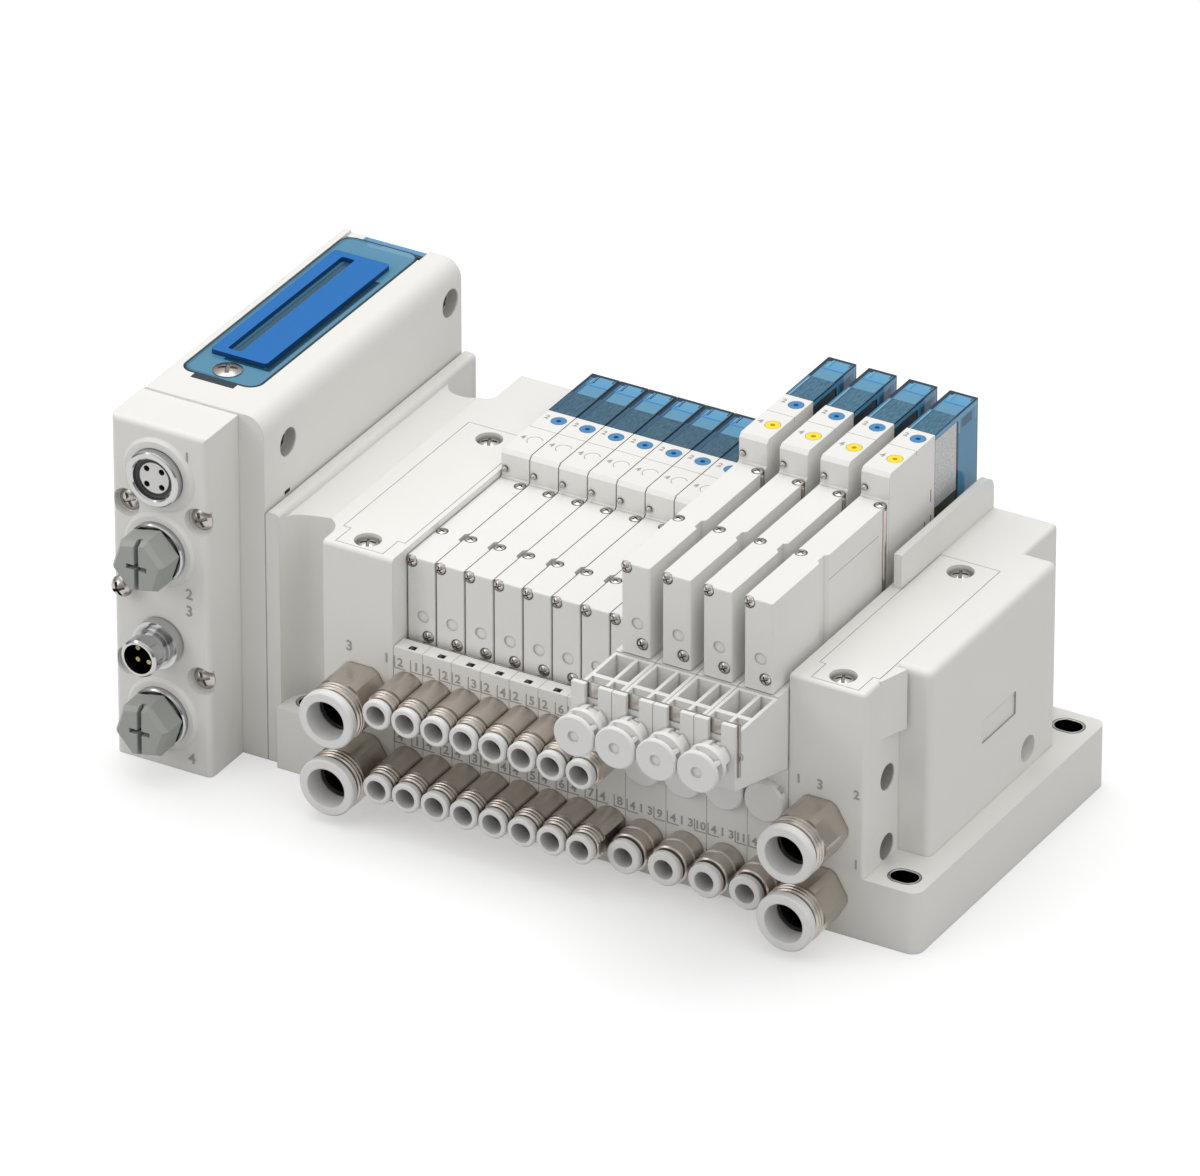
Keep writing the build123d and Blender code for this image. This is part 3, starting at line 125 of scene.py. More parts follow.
class Wire:
    """A shader socket on which plain arithmetic adds Math nodes."""

    def __init__(self, sheet, socket):
        self.sheet, self.socket = sheet, socket

    def math(self, operation, *others):
        return self.sheet.node("ShaderNodeMath", {"operation": operation}, [self, *others])

    def from_left(self, operation, other):
        return self.sheet.node("ShaderNodeMath", {"operation": operation}, [other, self])

    def __add__(self, other): return self.math("ADD", other)
    def __radd__(self, other): return self.math("ADD", other)
    def __sub__(self, other): return self.math("SUBTRACT", other)
    def __rsub__(self, other): return self.from_left("SUBTRACT", other)
    def __mul__(self, other): return self.math("MULTIPLY", other)
    def __rmul__(self, other): return self.math("MULTIPLY", other)
    def __truediv__(self, other): return self.math("DIVIDE", other)
    def __gt__(self, other): return self.math("GREATER_THAN", other)
    def __lt__(self, other): return self.math("LESS_THAN", other)
    def __abs__(self): return self.math("ABSOLUTE", 0.0)
    def __or__(self, other): return self.math("MAXIMUM", other)

    def between(self, low, high):
        return (self > low) * (self < high)

    def near(self, value, reach):
        return abs(self - value) < reach

    def above_zero(self):
        return self.math("MAXIMUM", 0.0)

    def ramp(self, low, high):
        """Rises from 0 at low to 1 at high, and stays between them."""
        return ((self - low) / (high - low)).above_zero().math("MINIMUM", 1.0)

    def repeat(self, start, pitch):
        """Distance from the middle of its own station, in a row of stations of one pitch."""
        return ((self - start) / pitch).math("FRACT") * pitch - pitch / 2


def away(a, b):
    """Distance from a middle that lies a and b off."""
    return (a * a + b * b).math("SQRT")


def disc(a, b, square):
    """Mask of a round spot, from the distances to its middle and the square of its radius."""
    return (a * a + b * b) < square


def either(masks):
    """1 where any of the masks is 1."""
    joined, *others = masks
    for mask in others:
        joined = joined | mask
    return joined


class Finish:
    """One material: its surface shader, and one method that adds any other node."""

    def __init__(self, name, colour, roughness, metallic=0.0, **constants):
        self.material = bpy.data.materials.new(name)
        self.material.use_nodes = True
        self.tree = self.material.node_tree
        self.shader = self.tree.nodes["Principled BSDF"]
        self.set("Base Color", (*colour, 1.0))
        self.set("Roughness", roughness)
        self.set("Metallic", metallic)
        for socket, value in constants.items():
            self.set(socket, value)

    def node(self, kind, settings, sockets, out=0):
        """Adds a node: its settings first, then the values or links of its sockets."""
        made = self.tree.nodes.new(kind)
        for key, value in settings.items():
            setattr(made, key, value)
        pairs = sockets.items() if isinstance(sockets, dict) else enumerate(sockets)
        for key, value in pairs:
            self.feed(made.inputs[key], value)
        return Wire(self, made.outputs[out])

    def feed(self, socket, value):
        if isinstance(value, Wire):
            self.tree.links.new(value.socket, socket)
        else:
            socket.default_value = value

    def set(self, name, value):
        self.feed(self.shader.inputs[name], value)

    def parts(self, vector):
        return [self.node("ShaderNodeSeparateXYZ", {}, [vector], out=i) for i in range(3)]

    def place(self, scale=(1, 1, 1)):
        """Object coordinates in metres, scaled."""
        spot = self.node("ShaderNodeTexCoord", {}, [], out="Object")
        return self.node("ShaderNodeMapping", {}, {"Vector": spot, "Scale": scale})

    def spot(self):
        """The three object coordinates in millimetres."""
        return self.parts(self.place((1000, 1000, 1000)))

    def facing(self):
        """The three parts of the surface's direction, turning with the body it belongs to."""
        normal = self.node("ShaderNodeNewGeometry", {}, [], out="True Normal")
        turn = {"vector_type": "NORMAL", "convert_from": "WORLD", "convert_to": "OBJECT"}
        return self.parts(self.node("ShaderNodeVectorTransform", turn, [normal]))

    def noise(self, scale, detail, where=None, roughness=0.5):
        where = where or self.place()
        return self.node(
            "ShaderNodeTexNoise", {},
            {"Vector": where, "Scale": scale, "Detail": detail, "Roughness": roughness},
        )

    def tint(self, factor, low, high):
        """Colour between low and high by a factor; each may be a colour or a wire."""
        ends = [end if isinstance(end, Wire) else (*end, 1.0) for end in (low, high)]
        return self.node(
            "ShaderNodeMix", {"data_type": "RGBA"}, {0: factor, 6: ends[0], 7: ends[1]}, out=2,
        )

    def layered(self, base, layers):
        """The base colour with each layer's colour over it where that layer's mask is 1."""
        for mask, colour in layers:
            base = self.tint(mask, base, colour)
        return base

    def crevice(self, reach):
        """1 on open surfaces, towards 0 in seams and corners narrower than reach."""
        sockets = {"Distance": reach}
        return self.node("ShaderNodeAmbientOcclusion", {"samples": 3}, sockets, out="AO")

    def relief(self, height, depth, under):
        """Bumps of a depth in metres over the direction that under gives."""
        sockets = {"Height": height, "Strength": 1.0, "Distance": depth, "Normal": under}
        return self.node("ShaderNodeBump", {}, sockets)

    def soft_edges(self, radius):
        return self.node("ShaderNodeBevel", {"samples": 4}, {"Radius": radius})


def shade(colour, part):
    return tuple(channel * part for channel in colour)


def moulded(
    name, colour, roughness=0.5, edge=0.00025, seam=0.35, reach=0.0007, mark=None, **constants,
):
    """Moulded plastic: fine spark grain, faint cloudiness, softened edges, and painted shade that
    darkens its seams and corners.

    mark gives layers of mask and colour from the finish, laid over its own colour."""
    grain = 0.000008
    finish = Finish(name, colour, roughness, **constants)
    body = finish.tint(finish.noise(45.0, 2.0), shade(colour, 0.97), colour)
    if mark:
        body = finish.layered(body, mark(finish))
    # Painted shade: the colour darkens in seams and corners narrower than reach.
    finish.set("Base Color", finish.tint(finish.crevice(reach), shade(colour, seam), body))
    fine = finish.noise(9000.0, 2.0)
    finish.set("Roughness", fine * 0.10 + (roughness - 0.05))
    finish.set("Normal", finish.relief(fine, grain, finish.soft_edges(edge)))
    return finish


def plated(name, colour, roughness=0.28, seam=0.3, reach=0.0009, mark=None):
    """Nickel plating: satin metal with faint turning marks, and painted shade that darkens its
    seams and corners.

    mark gives layers of mask and colour from the finish, laid over its own colour."""
    turning_marks = 0.000003
    finish = Finish(name, colour, roughness, metallic=1.0)
    rings = finish.noise(1.0, 2.0, finish.place((300, 9000, 300)))
    finish.set("Roughness", rings * 0.12 + (roughness - 0.06))
    metal = finish.tint(rings, shade(colour, 0.93), colour)
    if mark:
        metal = finish.layered(metal, mark(finish))
    # Painted shade: the colour darkens in seams and corners narrower than reach.
    finish.set("Base Color", finish.tint(finish.crevice(reach), shade(colour, seam), metal))
    finish.set("Normal", finish.relief(rings, turning_marks, finish.soft_edges(0.00012)))
    return finish


def pilot_lines(finish):
    """Thin joint across the pilot tops, its side notch, three slits low in the side painted black
    as the shade inside them, and painted shade along one half of the rim of a moulded disc on each
    narrow top, where a second button could be."""
    x, y, z = finish.spot()
    tall = x > WIDE_LEFT
    narrow = 1 - tall
    joint = z.near(TALL_TOP, 1.05) * tall | z.near(NARROW_TOP, 0.3) * narrow
    slits = y.near(20.0, 0.16) * (z.between(63.4, 66.1) | z.between(57.9, 60.4))
    slits = (slits | y.near(17.6, 0.14) * z.between(58.1, 60.1)) * tall
    a = x.repeat(BANK_LEFT, NARROW_PITCH) - 0.9
    b = y - 9.3
    # Painted shade: the rim is drawn on one half only
    rim = away(a, b).near(1.58, 0.09) * (b > a - 0.6) * (z > NARROW_TOP - 0.2) * narrow
    return [
        (y.near(PILOT_JOINT_Y, 0.07) * joint, SEAM_GREY),
        (slits, BLACK),
        (rim, (0.34, 0.33, 0.31)),
    ]


def valve_line(finish):
    """Parting line along the side of each tall valve body."""
    x, y, z = finish.spot()
    side = abs(finish.facing()[0]) > 0.7
    line = z.near(65.9, 0.07) * y.between(-21.0, -0.8) * (x > WIDE_LEFT) * side
    return [(line, SEAM_GREY)]


def button_well(colour):
    """Painted shade: a darker colour for the floor and wall of the dimple in each button."""
    def mark(finish):
        z = finish.spot()[2]
        wells = either(z.between(top - 0.5, top - 0.12) for top in (NARROW_TOP, TALL_TOP))
        return [(wells, colour)]
    return mark


def contacts(finish):
    """Painted shade: black in the gap round the upper insert and in its four holes. The lower
    connector's insert is black, with gilt pin ends.
    """
    x, y, z = finish.spot()
    lower = z < 45.0
    holes = either(
        disc(x - (CONNECTOR_X + CONTACT_OFF * across), z - SOCKET_Z - CONTACT_OFF * up, 0.42)
        for across, up in ((1, 1), (-1, 1), (-1, -1), (1, -1))
    )
    a, b = x - CONNECTOR_X, z - SOCKET_Z
    dark = holes | ((a * a + b * b) > 10.9)
    tips = lower * (abs(finish.facing()[1]) > 0.8) * (y < BLOCK_FACE - 1.0)
    return [
        ((1 - lower) * dark, BLACK),
        (lower, (0.012, 0.011, 0.010)),
        (tips, (1.0, 0.80, 0.33)),
    ]


def screw_tones(finish):
    """The module's screws are painted darker, as the shade of the holes they sit in, the window's
    screws are darker, the tie screws brighter, and the side screws are painted with the shadow
    they sit in."""
    x, y, z = finish.spot()
    return [
        ((x < -74.0) * (z < 74.0), (0.50, 0.465, 0.435)),
        ((z > 74.0) * (x < -80.0), (0.44, 0.405, 0.38)),
        (y.between(-24.0, 4.0) * (z > 45.0) * x.between(BANK_LEFT, BANK_RIGHT), (0.90, 0.86, 0.82)),
        ((x > 55.0) * (z < 40.0), (0.12, 0.115, 0.11)),
    ]


def label_sides(finish):
    """The label plate's narrow sides are painted darker, as shade."""
    return [(finish.facing()[2] < 0.5, (0.006, 0.06, 0.20))]


def ledge_holes(finish):
    """Painted shade: dark inside the small holes along the ledge."""
    y, z = finish.spot()[1:]
    holes = z.between(LEDGE_TOP - 1.7, LEDGE_TOP - 0.06) * y.between(FRONT + 0.9, FRONT + 2.9)
    return [(holes, (0.03, 0.03, 0.03))]


def block_marks(finish):
    """Dark line round each mounting slot, which is a rectangle with half circles at its ends, shade
    on the plaque's walls, and shade in the two screw holes of the right side."""
    x, y, z = finish.spot()
    a = (abs(abs(x) - SLOT_X) - (SLOT_LENGTH - SLOT_WIDTH) / 2).above_zero()
    b = abs(abs(y) - SLOT_Y)
    ring = away(a, b).between(2.4, 2.72) * z.between(FOOT_TOP - 0.2, FOOT_TOP + 0.2)
    plaque = x.between(*PLAQUE[0]) * y.between(*PLAQUE[1]) * z.between(*PLAQUE[2])
    holes = either(disc(y - SIDE_SCREW_Y, z - hole_z, 7.9) for hole_z in SIDE_SCREW_Z)
    deep = holes * x.between(SIDE_FACE - 3.2, SIDE_FACE - 0.25)
    return [(ring, (0.10, 0.10, 0.095)), (plaque, (0.22, 0.215, 0.21)), (deep, (0.42, 0.41, 0.39))]


def module_marks(finish):
    """Painted shade: a small slot low in the case's side is black inside, and the side's two screw
    holes are shaded.
    """
    x, y, z = finish.spot()
    holes = either(disc(y - hole_y, z - hole_z, 9.3) for hole_y, hole_z in SIDE_HOLES)
    slot = (x > -74.9) * y.between(*SIDE_SLOT[0]) * z.between(*SIDE_SLOT[1])
    return [(holes * x.between(-77.3, -74.9), (0.50, 0.49, 0.47)), (slot, BLACK)]


def socket_shade(finish):
    """Black inside the lower connector, and dark inside the upper one, round its insert."""
    x, _, z = finish.spot()
    a = x - CONNECTOR_X
    return [(disc(a, z - PIN_Z, 10.2), BLACK), (disc(a, z - SOCKET_Z, 13.0), (0.03, 0.03, 0.03))]


def fitting_tones(finish):
    """Bright raised ring round each short fitting, and shadow inside the four large ones."""
    x, y, z = finish.spot()
    ring = x.between(WIDE_LEFT, BANK_RIGHT) * y.near(FRONT - 3.65, 0.36)
    inside = either(
        disc(x - port_x, z - port_z, 20.0) for port_x in LARGE_PORT_X for port_z in LARGE_PORT_Z
    )
    deep = inside * (y > FRONT - 6.5)
    return [(ring, (0.84, 0.82, 0.78)), (inside, (0.30, 0.30, 0.29)), (deep, (0.02, 0.02, 0.02))]


def dark_bore(finish):
    """Shadow down the inside of the slot bushes, below a thin bright rim."""
    return [(finish.spot()[2] < FOOT_TOP - 0.25, (0.07, 0.07, 0.07))]


# In each look, one factor sets how dark the painted shade in seams and corners gets.
MOULDED = {
    "end_block": dict(colour=WARM_WHITE, seam=0.8, reach=0.0005, mark=block_marks),
    "end_cover": dict(colour=WARM_WHITE, edge=0.00012),
    "base_block": dict(colour=WARM_WHITE, edge=0.00012, seam=1.0, mark=ledge_holes),
    "module": dict(colour=WARM_WHITE, seam=0.8, reach=0.0005, mark=module_marks),
    "valve": dict(colour=VALVE_WHITE, roughness=0.42, edge=0.0002, mark=valve_line),
    "pilot": dict(colour=VALVE_WHITE, roughness=0.42, edge=0.0002, mark=pilot_lines),
    "spacer": dict(colour=(0.81, 0.80, 0.78), roughness=0.45, edge=0.0002),
    "plug": dict(colour=(0.82, 0.815, 0.795), roughness=0.42, edge=0.0002, seam=0.6),
    "collar": dict(
        colour=(0.83, 0.825, 0.805), roughness=0.38, edge=0.00035, seam=0.58, reach=0.0045,
    ),
    "override_blue": dict(
        colour=(0.05, 0.25, 0.54), roughness=0.32, edge=0.0001, seam=0.6,
        mark=button_well((0.045, 0.20, 0.45)),
    ),
    "override_yellow": dict(
        colour=(0.93, 0.76, 0.03), roughness=0.32, edge=0.0001, seam=0.75,
        mark=button_well((0.90, 0.56, 0.02)),
    ),
    "label": dict(
        colour=(0.010, 0.155, 0.48), roughness=0.36, edge=0.0001, mark=label_sides,
        **{"Specular IOR Level": 0.25},
    ),
    "seal_cap": dict(colour=(0.36, 0.375, 0.35), roughness=0.42, edge=0.0003, seam=0.12),
    "connector_insert": dict(colour=(0.80, 0.79, 0.76), roughness=0.4, edge=0.0001, mark=contacts),
    "board_green": dict(colour=(0.012, 0.05, 0.045), roughness=0.4, edge=0.00005),
    "switch_black": dict(colour=(0.02, 0.022, 0.024), roughness=0.4, edge=0.0001),
    # The raised figures are painted a darker grey, as the shade along their relief.
    "figure_shade_grey": dict(colour=(0.40, 0.39, 0.37), edge=0.00004, seam=0.6, reach=0.0003),
}
PLATED = {
    "fitting": dict(colour=(0.62, 0.565, 0.51), roughness=0.30, mark=fitting_tones),
    "screw": dict(
        colour=(0.62, 0.58, 0.545), roughness=0.24, seam=0.2, reach=0.0011, mark=screw_tones,
    ),
    "connector_shell": dict(
        colour=(0.56, 0.56, 0.56), roughness=0.14, seam=0.2, mark=socket_shade,
    ),
    "spring_steel": dict(colour=(0.56, 0.52, 0.48), roughness=0.22, seam=0.25),
    "tie_steel": dict(colour=(0.64, 0.59, 0.55), roughness=0.24, seam=0.18, reach=0.0008),
    "ball_steel": dict(colour=(0.56, 0.52, 0.49), roughness=0.30),
    "bush_steel": dict(colour=(0.66, 0.66, 0.66), roughness=0.2, mark=dark_bore),
}


def coil_finish():
    """Coil housing: mottled silver sides, painted dark as shade except on the last one's right
    side, a black foot, and a rough dull top under the cover.
    """
    finish = Finish("coil", (0.5, 0.5, 0.5), 0.45, metallic=0.35)
    x, y, z = finish.spot()
    to_right, _, upward = finish.facing()
    tall = x > WIDE_LEFT
    mottle = finish.noise(2600.0, 3.0, roughness=0.7).ramp(0.35, 0.65)
    silver = finish.tint(mottle, (0.42, 0.42, 0.43), (0.66, 0.66, 0.67))
    # Painted shade: every side but the last one's right side is dark, hidden from light in the
    # narrow gaps between valves
    last = (x > 41.0) * (to_right > 0.5)
    silver = finish.tint(last, (0.020, 0.050, 0.068), silver)
    silver = finish.layered(silver, [
        (z.between(40.0, 61.2) * tall, (0.012, 0.013, 0.010)),
        (z.between(58.0, 61.0) * y.between(22.0, 29.5) * tall, (0.055, 0.06, 0.045)),
    ])
    weave = finish.noise(1500.0, 2.0, roughness=0.6)
    top = finish.tint(weave.ramp(0.4, 0.6), (0.03, 0.06, 0.085), (0.07, 0.12, 0.15))
    top = finish.tint(y > COIL_STEP - 0.8, top, (0.30, 0.42, 0.50))
    finish.set("Base Color", finish.tint(upward > 0.5, silver, top))
    finish.set("Normal", finish.relief(weave, 0.00006, finish.soft_edges(0.0001)))
    return finish


def cover_finish():
    """Clear blue covers, with what lies inside painted on them, its light and shade included.
    Behind the coil they show a light floor with the inner walls round it; over the coil they show
    its streaked top; walls and edges are painted nearly black, as shade."""
    finish = Finish("rear_cover", (0.10, 0.36, 0.60), 0.10, **{"Specular IOR Level": 0.3})
    x, y, z = finish.spot()
    to_right, _, upward = finish.facing()
    tall = x > WIDE_LEFT
    narrow = 1 - tall
    across = x.repeat(BANK_LEFT, NARROW_PITCH) * narrow + x.repeat(WIDE_LEFT, WIDE_PITCH) * tall
    from_left, from_right = across + COVER_HALF, COVER_HALF - across
    from_top = (NARROW_TOP - z) * narrow + (TALL_TOP - z) * tall
    from_rear = COVER_REAR - y
    behind = y > COIL_STEP
    up = upward > 0.5
    sideways = abs(to_right) > 0.5
    streaks = finish.noise(1.0, 2.0, finish.place((3200, 650, 3200)), 0.7).ramp(0.36, 0.64)

    # The floor's layers are painted light and shade of the inner walls and posts, with DEEP_BLUE as
    # painted shade in corners and along edges
    post = finish.tint(tall, DEEP_BLUE, (0.06, 0.24, 0.42))
    rear_floor = finish.layered((0.128, 0.345, 0.515), [
        (from_rear < 4.3, (0.125, 0.375, 0.61)),
        (from_left.between(0.6, 1.2) * narrow, (0.035, 0.15, 0.31)),
        (from_left.between(0.8, 1.3) * tall, (0.09, 0.30, 0.49)),
        (from_left.between(1.15, 1.4) * (from_rear > 4.7) * narrow, (0.03, 0.10, 0.17)),
        (from_left.between(0.6, 1.9) * (from_rear < 4.0) * narrow, (0.05, 0.20, 0.40)),
        (from_left.between(1.3, 1.6) * from_rear.between(1.4, 3.6), (0.17, 0.47, 0.74)),
        (from_rear.between(4.3, 4.75) * (from_left > 1.1), (0.045, 0.235, 0.58)),
        (from_left.between(2.0, 2.25) * (from_rear < 3.6), post),
        (from_right.between(0.5, 0.8) * from_rear.between(0.8, 1.9), DEEP_BLUE),
        ((from_left < 0.85) * (tall | (from_left < 0.65)) | (from_right < 0.34), DEEP_BLUE),
        ((from_left < 1.5) * (from_rear < 1.5), DEEP_BLUE),
    ])
    # Over the coil: painted shade at the left and right edges, and a painted highlight along the
    # left of each tall cover
    narrow_top = finish.tint(streaks, (0.032, 0.098, 0.155), (0.072, 0.165, 0.240))
    tall_top = finish.tint(streaks, (0.040, 0.130, 0.205), (0.088, 0.215, 0.315))
    coil_top = finish.layered(finish.tint(tall, narrow_top, tall_top), [
        (from_left.between(0.2, 1.1) * narrow, (0.035, 0.115, 0.20)),
        (from_left.between(0.2, 1.25) * tall, (0.055, 0.22, 0.37)),
        (from_left.between(0.62, 0.80) * (from_rear > 9.0) * tall, (0.36, 0.58, 0.72)),
        (from_left.between(1.1, 1.25), (0.018, 0.06, 0.10)),
        ((from_left < 0.2) | (from_right < 0.16), DEEP_BLUE),
    ])
    # The walls carry painted light and shade: dark where the coil's side is in shade behind them,
    # lighter bands near the top and the rear
    wall = finish.layered((0.07, 0.28, 0.48), [
        ((from_rear > 7.8) * (from_top > 1.4), (0.014, 0.045, 0.065)),
        (from_top.between(0.3, 1.2), (0.12, 0.42, 0.68)),
        (from_rear.between(2.4, 6.6) * from_top.between(1.6, 3.6), (0.022, 0.115, 0.21)),
        (from_rear.between(7.3, 7.8) * from_top.between(1.2, 4.2), (0.16, 0.50, 0.75)),
        (from_rear.between(0.6, 1.0) * from_top.between(0.6, 4.0), (0.15, 0.46, 0.72)),
    ])
    body = finish.tint(up, wall, finish.tint(behind, coil_top, rear_floor))
    # Painted shade: the edges of the clear covers turn DEEP_BLUE and are less clear
    edge = up * (from_rear < 0.8) | (1 - up) * ((from_top < 0.28) | (from_rear < 0.3) * sideways)
    finish.set("Base Color", finish.tint(edge, body, DEEP_BLUE))
    dark = edge | up * behind * ((from_left < 0.75) | (from_right < 0.34))
    finish.set("Alpha", dark * 0.06 + 0.90)
    finish.set("Normal", finish.soft_edges(0.00015))
    return finish


def window_finish():
    """Clear blue window, with painted shade along its outline, the label's painted shadow round it,
    and painted shade on the barrel's sloping faces.
    """
    finish = Finish("window", (0.11, 0.34, 0.52), 0.08)
    x, y, z = finish.spot()
    upward = finish.facing()[2]
    up = upward > 0.6
    barrel = y > HINGE_FRONT
    flat = 1 - barrel
    aside = (abs(x - WINDOW_MIDDLE[0]) - (WINDOW_HALF[0] - WINDOW_CORNER)).above_zero()
    along = (abs(y - WINDOW_MIDDLE[1]) - (WINDOW_HALF[1] - WINDOW_CORNER)).above_zero()
    outward = away(aside, along)
    rim = (outward > WINDOW_CORNER - 0.42) * flat
    inner = outward.between(WINDOW_CORNER - 0.95, WINDOW_CORNER - 0.42)
    under = (upward < -0.6) * flat
    edge = (1 - up) * (1 - under) * flat | rim * up

    label_left, label_right = LABEL_X
    label_front, label_rear = LABEL_Y
    # Painted shadow of the label on the window, beside its right side and in front of it
    beside = x.between(label_right - 0.1, label_right + 1.3)
    beside = beside * y.between(label_front - 0.8, label_rear - 6.0)
    before = y.between(label_front - 0.9, label_front)
    before = before * x.between(label_left + 3.5, label_right + 1.3)
    slot = x.between(label_left + 2.5, label_left + 6.1)
    slot = slot * y.between(label_front + 1.5, label_rear - 1.5)
    # Painted light and shade: a darker band inside the rim's left half, a dark slot lighter at its
    # left side, the label's shadow, dark sloping faces on the barrel, darker faces turned down, and
    # DEEP_BLUE edges
    body = finish.layered(finish.tint(barrel, (0.115, 0.345, 0.52), (0.07, 0.33, 0.62)), [
        (inner * (x < WINDOW_MIDDLE[0]) * flat, (0.07, 0.24, 0.38)),
        (slot, (0.045, 0.12, 0.18)),
        (slot * (x < label_left + 3.5), (0.08, 0.26, 0.42)),
        (beside | before, (0.02, 0.07, 0.12)),
        (barrel * upward.between(0.1, 0.75), (0.02, 0.09, 0.17)),
        (under, (0.085, 0.27, 0.42)),
        (edge, DEEP_BLUE),
    ])
    finish.set("Base Color", body)
    finish.set("Alpha", (edge | under) * 0.2 + 0.76)
    finish.set("Normal", finish.soft_edges(0.00012))
    return finish


finishes = {name: moulded(name, **look) for name, look in MOULDED.items()}
finishes.update({name: plated(name, **look) for name, look in PLATED.items()})
finishes.update(coil=coil_finish(), rear_cover=cover_finish(), window=window_finish())

slot_of = {part["node"]: part["material_slot"] for part in frame["record"]["subparts"]}
for node, thing in frame["nodes"].items():
    for held in thing.material_slots:
        held.material = finishes[slot_of[node]].material


def clean(mesh, drop_slivers):
    """Merges a mesh's doubles and turns its faces outwards; slivers go first if asked."""
    work = bmesh.new()
    work.from_mesh(mesh)
    bmesh.ops.remove_doubles(work, verts=work.verts, dist=1e-7)
    if drop_slivers:
        bmesh.ops.dissolve_degenerate(work, dist=1e-8, edges=work.edges)
    bmesh.ops.recalc_face_normals(work, faces=work.faces)
    work.to_mesh(mesh)
    work.free()


def settle(name, mesh, finish, body="island", smooth=0):
    """Puts a mesh into the scene with its finish, on the body that carries it."""
    mesh.materials.append(finishes[finish].material)
    if smooth:
        mesh.shade_smooth()
        mesh.set_sharp_from_angle(angle=math.radians(smooth))
    piece = bpy.data.objects.new(name, mesh)
    bpy.context.scene.collection.objects.link(piece)
    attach(piece, body)


def skin(name, sheets, finish, smooth=35.0):
    """A piece from grids of points in millimetres. Each grid is a surface of two parameters,
    rows by columns, closed round its columns; its first and last rows end in one point each."""
    points, faces = [], []
    base = 0
    for sheet in sheets:
        rows, columns = sheet.shape[:2]
        index = base + np.arange(rows * columns).reshape(rows, columns)
        beside = np.roll(index, -1, axis=1)
        quads = np.stack([index[:-1], beside[:-1], beside[1:], index[1:]], axis=-1).reshape(-1, 4)
        points.append(sheet.reshape(-1, 3) * MM)
        faces.append(quads)
        base += rows * columns
    mesh = bpy.data.meshes.new(name)
    mesh.from_pydata(np.concatenate(points).tolist(), [], np.concatenate(faces).tolist())
    clean(mesh, drop_slivers=True)
    settle(name, mesh, finish, smooth=smooth)


def rounded_outline(width, length, corner, steps=6):
    """Points round a rectangle whose four corners are quarter circles."""
    points = []
    for turn, (sx, sy) in enumerate(((1, 1), (-1, 1), (-1, -1), (1, -1))):
        angles = np.radians(90.0 * turn) + np.linspace(0, math.pi / 2, steps)
        centre = np.array((sx * (width / 2 - corner), sy * (length / 2 - corner)))
        points.append(centre + corner * np.stack([np.cos(angles), np.sin(angles)], axis=1))
    return np.concatenate(points)


def level(outline, centre, height, part=1.0):
    """A flat outline laid round a centre at a height, drawn in to a part of its size."""
    flat = np.array(centre) + outline * part
    return np.column_stack([flat, np.full(len(flat), height)])


def block(centre, width, length, low, high, corner=0.3, edge=0.15):
    """A rounded rectangle carried straight up, drawn in along a quarter circle at its top edge."""
    half = min(width, length) / 2
    levels = [(0.0, low), (1.0, low)]
    for angle in np.linspace(0, math.pi / 2, 4):
        drawn_in, lifted = edge * (1 - math.cos(angle)), edge * math.sin(angle)
        levels.append((1.0 - drawn_in / half, high - edge + lifted))
    levels.append((0.0, high))
    outline = rounded_outline(width, length, corner)
    return np.array([level(outline, centre, height, part) for part, height in levels])


def turned(centre, axis, profile, columns=20):
    """A profile of radius and height, turned round an axis through its centre."""
    angles = np.linspace(0, 2 * math.pi, columns, endpoint=False)
    axis = np.array(axis, float)
    side = np.array((1.0, 0.0, 0.0)) if abs(axis[0]) < 0.5 else np.array((0.0, 1.0, 0.0))
    other = np.cross(axis, side)
    round_it = np.cos(angles)[:, None] * side + np.sin(angles)[:, None] * other
    centre = np.array(centre)
    return np.array([centre + axis * height + round_it * radius for radius, height in profile])


def strip(path, thickness, width):
    """A flat strip: a rectangle of thickness by width carried along a path in the XZ plane,
    each section square to the path's direction there."""
    path = np.array(path, float)
    ahead = np.gradient(path, axis=0)
    ahead /= np.linalg.norm(ahead, axis=1)[:, None]
    along = np.array((0.0, 1.0, 0.0))
    across = np.cross(ahead, along)
    rows = [path[:1].repeat(4, 0)]
    for spot, normal in zip(path, across):
        rows.append([
            spot + normal * thickness / 2 * a + along * width / 2 * b
            for a, b in ((-1, -1), (1, -1), (1, 1), (-1, 1))
        ])
    rows.append(path[-1:].repeat(4, 0))
    return np.array(rows)


def port_clip():
    """Steel plate standing in the slot of the port block, bent down its right side as a narrow leg
    with a small hook, and a second strip behind the ledge of the narrow stations."""
    y = FRONT - PORT_BLOCK_REACH + 1.1 + 0.3
    middle, right = PORT_BLOCK_TOP + 0.5, BANK_RIGHT + 0.2
    plate = [(x, y, middle) for x in (WIDE_LEFT + 0.2, 20.0, BANK_RIGHT)]
    leg = [(right, y, z) for z in (53.0, 46.0, 41.6)]
    hook = [(right + x, y, z) for x, z in ((0.1, 45.2), (0.5, 45.5), (0.5, 46.3), (0.1, 46.6))]
    ledge_y, ledge_z = FRONT + 4.2, LEDGE_TOP - 0.1
    rear = [(x, ledge_y, ledge_z) for x in (BANK_LEFT + 0.5, -20.0, WIDE_LEFT - 0.5)]
    sheets = [strip(plate, 3.2, 0.3), strip(leg, 0.34, 0.6), strip(hook, 0.3, 0.8)]
    skin("port_clip", [*sheets, strip(rear, 0.3, 0.5)], "spring_steel", smooth=30.0)


